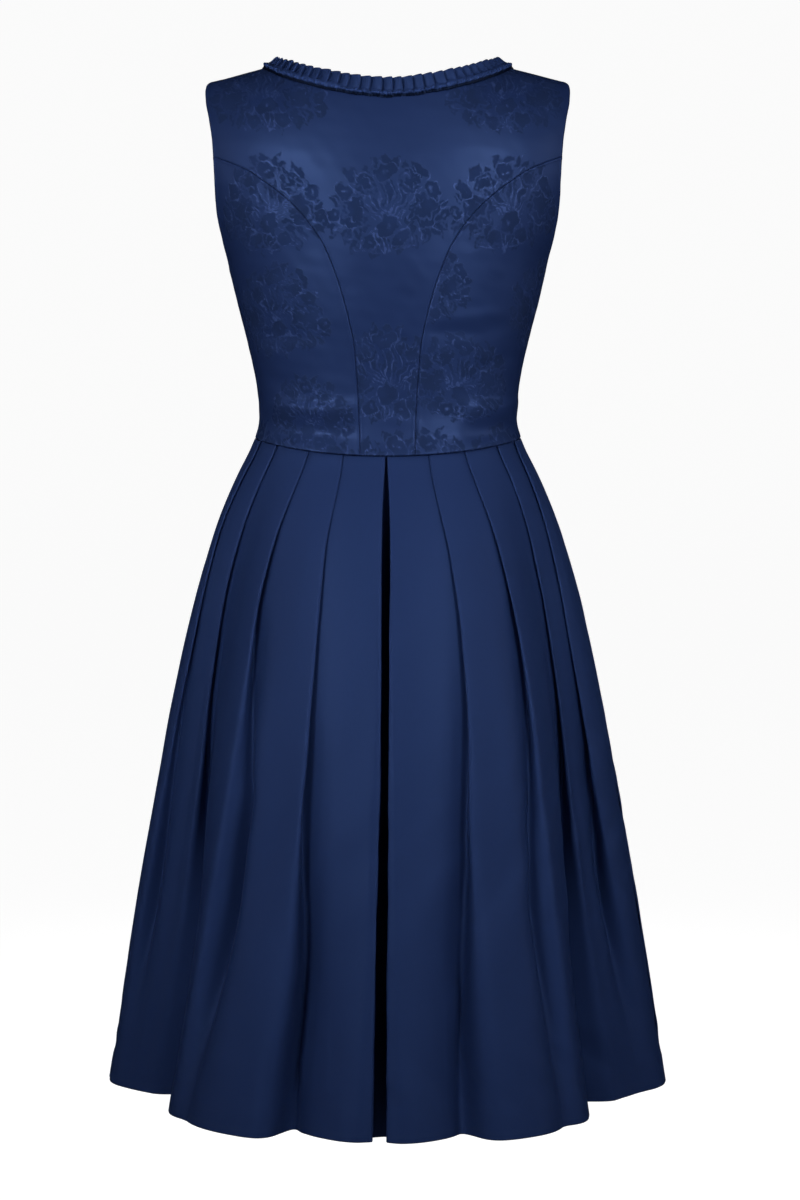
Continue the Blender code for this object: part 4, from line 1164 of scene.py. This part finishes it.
def softened(at, s, closed, sigma):
    """A closed run of straight pieces with every corner rounded by the softness there."""
    long = s[-1]
    slope = np.diff(closed, axis=0) / np.maximum(np.diff(s), 1e-9)[:, None]
    turn = slope - np.roll(slope, 1, 0)
    off = np.abs(at[:, None] - s[None, :-1])
    off = np.minimum(off, long - off) / sigma[:, None]
    bell = np.exp(-0.5 * off**2) / math.sqrt(2 * math.pi)
    k = 1 / (1 + 0.2316419 * off)
    tail = bell * k * (0.319381530 + k * (-0.356563782 + k * (1.781477937 + k * (-1.821255978 + k * 1.330274429))))
    rounding = (bell - off * tail) * sigma[:, None]
    flat = np.stack([np.interp(at, s, closed[:, k]) for k in (0, 1)], -1)
    return flat + rounding @ turn


def soft_of(kind, fold, level, folds):
    f = folds[fold]
    top = FOLD_SOFT_TOP
    early = LATE.get(fold, 1.9)
    if kind == "edge":
        return top + (f[5] - top) * level**early
    if kind == "valley":
        return top * 1.3 + (f[6] - top * 1.3) * level ** min(early, 1.5)
    if kind == "dip":
        return top * 1.2 + (f[6] * 0.9 - top) * level ** min(early, 1.5)
    waist = 0.0040 + 0.0025 * min(level / 0.12, 1.0)
    return waist + (max(f[5], f[6], 0.010) - 0.0065) * level**1.3


def skirt_grids():
    """The middle face of the skirt's back and front as (rows, columns, xyz), with the cloth's own places."""
    folds = all_folds()
    waist_ring = Ring([(f[0], f[1]) for f in folds])
    fall = 0.651
    down = np.concatenate([
        [0, 0.0008, 0.002, 0.004, 0.0065, 0.0095, 0.013, 0.017],
        np.arange(0.0215, fall - 0.006, 0.0047),
        [fall - 0.0045, fall - 0.0022, fall - 0.0009, fall],
    ])
    levels = down / fall
    # columns: shares between corners, set once from the hem's lengths
    r, back, front = section(1.0, folds, waist_ring, LAYER, 1.0)
    corners = back + front
    nb = len(back)
    r0, back0, front0 = section(0.12, folds, waist_ring, LAYER, 0.06)
    cells = []
    for lev_r, run_c in ((r, corners), (r0, back0 + front0)):
        p = np.array([lev_r.place(c[0], c[1]) for c in run_c])
        cells.append(np.linalg.norm(np.roll(p, -1, 0) - p, axis=1))
    longest = np.maximum(*cells)
    counts = np.maximum(np.ceil(longest / 0.0027), 1).astype(int)
    kinds = [c[2] for c in corners]
    for i, kind in enumerate(kinds):  # finer at the folds
        if kind in ("edge", "valley") and kinds[(i + 1) % len(kinds)] in ("edge", "valley"):
            counts[i] = max(counts[i], 4)
    rows_back, rows_front, s_back, s_front = [], [], [], []
    for level in levels:
        t = float(through(FLARE, level))
        r, back, front = section(t, folds, waist_ring, LAYER, float(level))
        run_c = back + front
        along = np.array([c[0] for c in run_c])
        out = np.array([c[1] for c in run_c])
        p = r.place(along, out)
        # the flat sides of the run follow the ring, not its chord
        closed = np.vstack([p, p[:1]])
        s = run_of(closed)
        long = s[-1]
        soft = np.array([soft_of(c[2], c[3], float(level), folds) for c in run_c])
        soft_closed = np.append(soft, soft[0])
        at = []
        for i, count in enumerate(counts):
            f = np.arange(count) / count
            at.append(s[i] + (s[i + 1] - s[i]) * f)
        split = sum(counts[:nb - 1])
        at = np.concatenate(at)
        sigma = np.interp(at, s, soft_closed)
        xy = softened(at, s, closed, sigma)
        xy[:, 0] *= 1 + 0.017 * (1 - float(level)) ** 1.5
        top = waist_z(-1, xy[:, 0] / (1 + t)) * (xy[:, 1] < 0) + waist_z(1, xy[:, 0] / (1 + t)) * (xy[:, 1] >= 0)
        top = top - 0.0009
        z = top + (HEM_Z - top) * level
        # the layer under the middle gap hangs a little lower than the edges over it
        inside = smooth(0.014, 0.034, 0.2375 - np.abs(xy[:, 1])) * (np.abs(xy[:, 0]) < 0.055)
        z = z - 0.0065 * inside * float(smooth(0.70, 1.0, level))
        whole = np.column_stack([xy, z])
        ring_back = whole[: split + 1]
        ring_front = np.vstack([whole[split:], whole[:1]])
        rows_back.append(ring_back)
        rows_front.append(ring_front)
        s_back.append(at[: split + 1])
        s_front.append(np.append(at[split:], long))
    return (np.array(rows_back), np.array(s_back)), (np.array(rows_front), np.array(s_front)), down


def skirt_piece(name, grid, s, down, material, seed):
    p = grid.copy()
    # long soft undulations of the hanging cloth, none at the waist
    n = normals(p)
    centre = np.stack([p[..., 0], p[..., 1], np.zeros(p.shape[:2])], -1)
    sign = np.sign(np.median(np.sum(n * centre, axis=-1)))
    n = n * sign
    depth = (down / down[-1])[:, None]
    wave = ripple(s, np.broadcast_to(down[:, None], s.shape) * 0.22, waves=9.0, seed=seed)
    wave2 = ripple(s, np.broadcast_to(down[:, None], s.shape) * 0.5, waves=22.0, seed=seed + 1)
    p = p + n * (0.0011 * wave * depth**0.8 + 0.00025 * wave2 * depth**0.5)[..., None]
    # the hem is turned up: its lowest 30 mm is a little thicker, with a soft step above it
    turn = smooth(0.034, 0.0305, (down[-1] - down))[:, None] * 0.00045
    round_edge = rolled(down[-1] - down, 0.0012, 0.00035)[:, None]
    outer = p + n * (SKIRT_CLOTH / 2 + turn - round_edge)[..., None]
    inner = p - n * (SKIRT_CLOTH / 2 + turn * 1.6 - round_edge)[..., None]
    left, right, _, _ = to_edges(p)
    fall = np.maximum(rolled(left, 0.0012, 0.0005), rolled(right, 0.0012, 0.0005))
    outer = outer - n * fall[..., None]
    values = {"cloth": np.stack([s, np.broadcast_to(-down[:, None], s.shape), np.zeros_like(s)], -1)}
    # turn rows into the direction that shell() expects
    ob = shell(name, outer, inner, 6, 2, values, material, True)
    area = float(
        np.sum(np.linalg.norm(np.cross(p[1:, :-1] - p[:-1, :-1], p[:-1, 1:] - p[:-1, :-1]), axis=-1))
    )
    return ob, area, float(np.ptp(s[-1]))


# =============================================================== ruche
def neck_stations(face, count):
    line = edge(face, (on_form(neck_line(face)), np.linspace(0, 1, count)))
    q, h = line[:, 0], np.minimum(line[:, 1], 0.985)
    here = torso(face, q, h)
    dq = torso(face, q + 0.004, h) - torso(face, q - 0.004, h)
    dh = torso(face, q, h + 0.01) - torso(face, q, h - 0.01)
    out = np.cross(dq, dh) * -face
    out /= np.linalg.norm(out, axis=1)[:, None]
    run = np.gradient(here, axis=0)
    run /= np.linalg.norm(run, axis=1)[:, None]
    down = np.cross(run, out)
    down *= np.sign(down[:, 2:3] * -1 + np.abs(here[:, 0:1]) * 0.2)
    return here, out, down


PLEAT = 0.0103           # from one fold of the ruche to the next
STITCH = -0.0062         # the row of stitching, below the neck edge
#   place up the ribbon, how far the recess and the fold's edge stand out
RUCHE = (
    (-0.0126, 0.0001, 0.0001), (-0.0112, 0.0003, 0.0008), (-0.0104, 0.0012, 0.0024),
    (-0.0102, 0.0022, 0.0044), (-0.0095, 0.0024, 0.0050), (-0.0085, 0.0020, 0.0047), (-0.0075, 0.0015, 0.0039),
    (-0.0066, 0.0009, 0.0033), (-0.0056, 0.0005, 0.0034), (-0.0040, 0.0002, 0.0040), (-0.0016, 0.0001, 0.0045),
    (0.0010, 0.0001, 0.0047), (0.0036, 0.0002, 0.0046), (0.0056, 0.0005, 0.0042), (0.0068, 0.0010, 0.0036),
    (0.0075, 0.0015, 0.0029),
)
#   one pleat: share along, share of the way out from recess to edge, how far its top stands up
PLEAT_RUN = (
    (0.04, 0.00, -0.6), (0.11, 0.02, -0.5), (0.18, 0.08, -0.4), (0.26, 0.20, -0.1), (0.35, 0.38, 0.1),
    (0.45, 0.55, 0.3), (0.56, 0.70, 0.5), (0.68, 0.82, 0.7), (0.80, 0.91, 0.9), (0.92, 0.98, 1.0),
    (1.020, 1.00, 0.8), (1.065, 0.93, 0.4), (1.075, 0.78, 0.1), (1.060, 0.52, -0.2), (1.035, 0.27, -0.4),
    (1.025, 0.06, -0.6),
)


def unit(v):
    return v / np.linalg.norm(v, axis=-1, keepdims=True)


def ruche():
    rows = [neck_stations(f, c) for f, c in ((-1, 260), (1, 420))]
    half = [np.concatenate([rows[0][k], rows[1][k][::-1][1:]]) for k in range(3)]
    mirror = np.array([-1.0, 1.0, 1.0])
    here, out, down = [np.concatenate([(half[k] * mirror)[::-1], half[k][1:]]) for k in range(3)]
    for _ in range(60):
        for a in (out, down):
            a[1:-1] = (a[:-2] + 2 * a[1:-1] + a[2:]) / 4
            a /= np.linalg.norm(a, axis=1)[:, None]
    for _ in range(12):
        here[1:-1] = (here[:-2] + 2 * here[1:-1] + here[2:]) / 4
    run = run_of(here)
    count = int(round(run[-1] / PLEAT))
    r = np.random.default_rng(11)
    width = 1 + r.uniform(-0.12, 0.12, count)
    starts = np.concatenate([[0], np.cumsum(width)])
    starts = starts / starts[-1] * (run[-1] - 0.0008) + 0.0004
    tall = r.uniform(-0.0004, 0.0004, count)
    proud = r.uniform(-0.0004, 0.0005, count)
    tilt = r.uniform(-0.0006, 0.0006, count)
    ragged = r.uniform(-1, 1, (count, len(PLEAT_RUN)))
    w_all = np.array([row[0] for row in RUCHE])
    recess = np.array([row[1] for row in RUCHE])
    fold = np.array([row[2] for row in RUCHE])
    up = smooth(STITCH, 0.0070, w_all)
    low = smooth(STITCH, -0.0098, w_all)
    bunch = 0.0043 * np.exp(-(((w_all + 0.0070) / 0.0036) ** 2))
    # under the stitching the pleats run on, crumpled, into a ragged lip
    strength = np.where(w_all < STITCH, 0.72, 1.0)
    cols, u_cloth, total, last = [], [], 0.0, None
    for k in range(count):
        p0, pitch = starts[k], starts[k + 1] - starts[k]
        for j, (f, share, crown) in enumerate(PLEAT_RUN):
            plain = (j + 0.5) / len(PLEAT_RUN)
            f_all = f * (1 - 0.55 * low) + plain * 0.55 * low
            share_all = share * strength + (1 - strength) * (0.5 + 0.5 * np.sin(f * 9 + k * 1.9))
            s = np.clip(p0 + pitch * f_all + tilt[k] * up * share, 0.0, run[-1])
            n_off = recess + (fold + proud[k] * up - recess) * share_all
            n_off = n_off + low * 0.0006 * np.sin(k * 2.6 + j * 1.9 + w_all * 1300)
            # over the shoulders the stitched part bunches up
            n_off = np.maximum(n_off, bunch * float(smooth(-0.010, -0.003, np.interp(p0, run, here[:, 2]))))
            n_off = np.maximum(n_off, 0.0001) + 0.0005
            w = w_all + up**2 * (0.0005 * crown + tall[k])
            calm = 1 - 0.8 * smooth(-0.012, -0.002, np.interp(p0, run, here[:, 2]))
            w = w - low**2 * calm * (0.0007 * ragged[k, j] + 0.0005 * math.sin(k * 2.3))
            base = np.stack([np.interp(s, run, here[:, c]) for c in range(3)], -1)
            o = unit(np.stack([np.interp(s, run, out[:, c]) for c in range(3)], -1))
            d = unit(np.stack([np.interp(s, run, down[:, c]) for c in range(3)], -1))
            rise = unit(-d + np.array([0, 0, 0.7]))
            stand = unit(o - np.sum(o * rise, -1, keepdims=True) * rise)
            over = smooth(-0.004, 0.004, w)[:, None]
            face_out = unit(o * (1 - over) + stand * over)
            q = base + np.where((w > 0)[:, None], rise * w[:, None], -d * w[:, None])
            q = q + face_out * n_off[:, None]
            cols.append(q)
            total += 0.0 if last is None else float(np.linalg.norm(q[10] - last[10]))
            u_cloth.append(np.full(len(w_all), total))
            last = q
    grid = np.array(cols).transpose(1, 0, 2)
    u = np.array(u_cloth).T
    v = np.broadcast_to(w_all[:, None], u.shape)
    return grid, u, v, total


def ruche_piece(material):
    grid, u, v, total = ruche()
    rows, cols = grid.shape[:2]
    idx = np.arange(rows * cols).reshape(rows, cols)
    quads = np.stack([idx[:-1, :-1], idx[:-1, 1:], idx[1:, 1:], idx[1:, :-1]], -1).reshape(-1, 4)
    mesh = bpy.data.meshes.new("neck_ruche")
    mesh.from_pydata(grid.reshape(-1, 3).tolist(), [], quads.tolist())
    at = mesh.attributes.new("cloth", "FLOAT_VECTOR", "POINT")
    at.data.foreach_set("vector", np.stack([u, v, u * 0], -1).astype(np.float32).ravel())
    mesh.shade_smooth()
    mesh.materials.append(material)
    ob = bpy.data.objects.new("neck_ruche", mesh)
    bpy.context.scene.collection.objects.link(ob)
    wall = ob.modifiers.new("Ribbon", "SOLIDIFY")
    wall.thickness = 0.0003
    wall.offset = 0.0
    return ob, total


# =============================================================== build
body = "root"
report = []

for node, (ob, area, size) in build_bodice():
    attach(ob, body)
    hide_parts(node)
    width, length = size
    report.append((ob.name, tri_count(ob), round(area, 4), round(width, 3), round(length, 3)))

(back_grid, back_s), (front_grid, front_s), down = skirt_grids()
for node, grid, s, seed in (("skirt_back", back_grid, back_s, 21), ("skirt_front", front_grid, front_s, 31)):
    ob, area, hem = skirt_piece(node + "_cloth", grid, s, down, skirt_cloth("Skirt " + node[6:]), seed)
    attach(ob, body)
    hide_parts(node)
    report.append((ob.name, tri_count(ob), round(area, 4), round(hem, 3), 0.651))

ob, ribbon_long = ruche_piece(ribbon_cloth("Ruche ribbon"))
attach(ob, body)
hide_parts("neck_trim")
report.append((ob.name, 4 * tri_count(ob) // 2, round(ribbon_long * 0.0205, 4), round(ribbon_long, 3), 0.0205))
for row in report:
    print("piece", *row)
print("triangles", sum(r[1] for r in report))


# =============================================================== stage
def stage_bowl():
    """A pale studio floor that rises all round into its backdrop."""
    profile = [(0.0, 0.0), (4.0, 0.0), (7.0, 0.02), (8.0, 0.12), (8.8, 0.5), (9.3, 1.3), (9.5, 2.6), (9.5, 9.0)]
    turns, verts, faces = 96, [], []
    line = []
    for (r0, z0), (r1, z1) in zip(profile[:-1], profile[1:]):
        for k in range(6):
            line.append((r0 + (r1 - r0) * k / 6, z0 + (z1 - z0) * k / 6))
    line.append(profile[-1])
    for _ in range(10):
        a = np.array(line)
        a[1:-1] = (a[:-2] + 2 * a[1:-1] + a[2:]) / 4
        line = [tuple(x) for x in a]
    for r0, z0 in line:
        for k in range(turns):
            a = 2 * math.pi * k / turns
            verts.append((r0 * math.cos(a), r0 * math.sin(a), z0 - 1.38))
    for i in range(len(line) - 1):
        for k in range(turns):
            n = (k + 1) % turns
            faces.append((i * turns + k, i * turns + n, (i + 1) * turns + n, (i + 1) * turns + k))
    mesh = bpy.data.meshes.new("studio_floor")
    mesh.from_pydata(verts, [], faces)
    mesh.shade_smooth()
    m = bpy.data.materials.new("Studio white")
    m.use_nodes = True
    b = m.node_tree.nodes["Principled BSDF"]
    b.inputs["Base Color"].default_value = (0.30, 0.30, 0.30, 1)
    b.inputs["Roughness"].default_value = 0.9
    b.inputs["Specular IOR Level"].default_value = 0.1
    b.inputs["Emission Color"].default_value = (1, 1, 1, 1)
    b.inputs["Emission Strength"].default_value = 0.92
    mesh.materials.append(m)
    floor = bpy.data.objects.new("studio_floor", mesh)
    bpy.context.scene.collection.objects.link(floor)
    floor.visible_shadow = False
    floor.visible_diffuse = False
    floor.visible_glossy = False


def light(name, location, target, size, power, spread):
    d = bpy.data.lights.new(name, "AREA")
    d.shape = "RECTANGLE"
    d.size, d.size_y = size
    d.energy = power
    d.spread = math.radians(spread)
    o = bpy.data.objects.new(name, d)
    bpy.context.scene.collection.objects.link(o)
    o.location = location
    aim = Vector(target) - Vector(location)
    o.rotation_euler = aim.to_track_quat("-Z", "Y").to_euler()
    return o


bpy.context.scene.view_settings.view_transform = "Standard"
stage_bowl()
world = bpy.data.worlds.new("Studio air")
bpy.context.scene.world = world
world.use_nodes = True
world.node_tree.nodes["Background"].inputs["Color"].default_value = (1, 1, 1, 1)
world.node_tree.nodes["Background"].inputs["Strength"].default_value = 0.120
bpy.context.scene.world.cycles_visibility.glossy = False
# soft boxes round the back, which the camera sees, and weaker ones round the front
light("high_left", (-1.2, -1.8, 1.3), (0, 0, -0.3), (1.15, 1.15), 3.7, 150)
light("high_right", (1.2, -1.8, 1.3), (0, 0, -0.3), (1.15, 1.15), 5.2, 150)
light("behind_camera", (0.0, -2.5, 0.3), (0, 0, -0.4), (0.8, 0.8), 1.3, 150)
light("chest_left", (-1.3, -1.9, 0.1), (-0.05, 0, -0.2), (0.6, 0.6), 2.7, 60)
light("chest_right", (1.3, -1.9, 0.1), (0.05, 0, -0.2), (0.6, 0.6), 2.1, 60)
light("low_left", (-1.0, -2.1, -0.2), (-0.05, 0, -0.25), (0.6, 0.6), 0.35, 60)
light("low_right", (1.0, -2.1, -0.2), (0.05, 0, -0.25), (0.6, 0.6), 0.5, 60)
light("side_right", (2.3, -0.6, 0.1), (0, 0, -0.4), (0.9, 1.2), 3.9, 150)
light("side_left", (-2.3, -0.6, 0.1), (0, 0, -0.4), (0.9, 1.2), 2.8, 150)
for side in (-1, 1):
    o = light("front", (0.8 * side, 2.3, 0.5), (0, 0, -0.4), (0.9, 1.0), 8.5, 150)
    o.visible_glossy = False
light("front_shine", (0.0, 2.4, 0.05), (0, 0, -0.3), (0.8, 0.8), 1.8, 120)

# =============================================================== camera
ELEVATION, DISTANCE = math.radians(6.5), 3.2
target = (0.012, 0.0, -0.515)
camera_data = bpy.data.cameras.new("camera")
camera_data.lens = 96.0
camera_data.sensor_width = 36.0
camera_data.clip_start, camera_data.clip_end = 0.05, 60
camera = bpy.data.objects.new("camera", camera_data)
bpy.context.scene.collection.objects.link(camera)
camera.location = (
    target[0], -DISTANCE * math.cos(ELEVATION), target[2] + DISTANCE * math.sin(ELEVATION)
)
camera.rotation_euler = (math.pi / 2 - ELEVATION, 0, 0)
bpy.context.scene.camera = camera
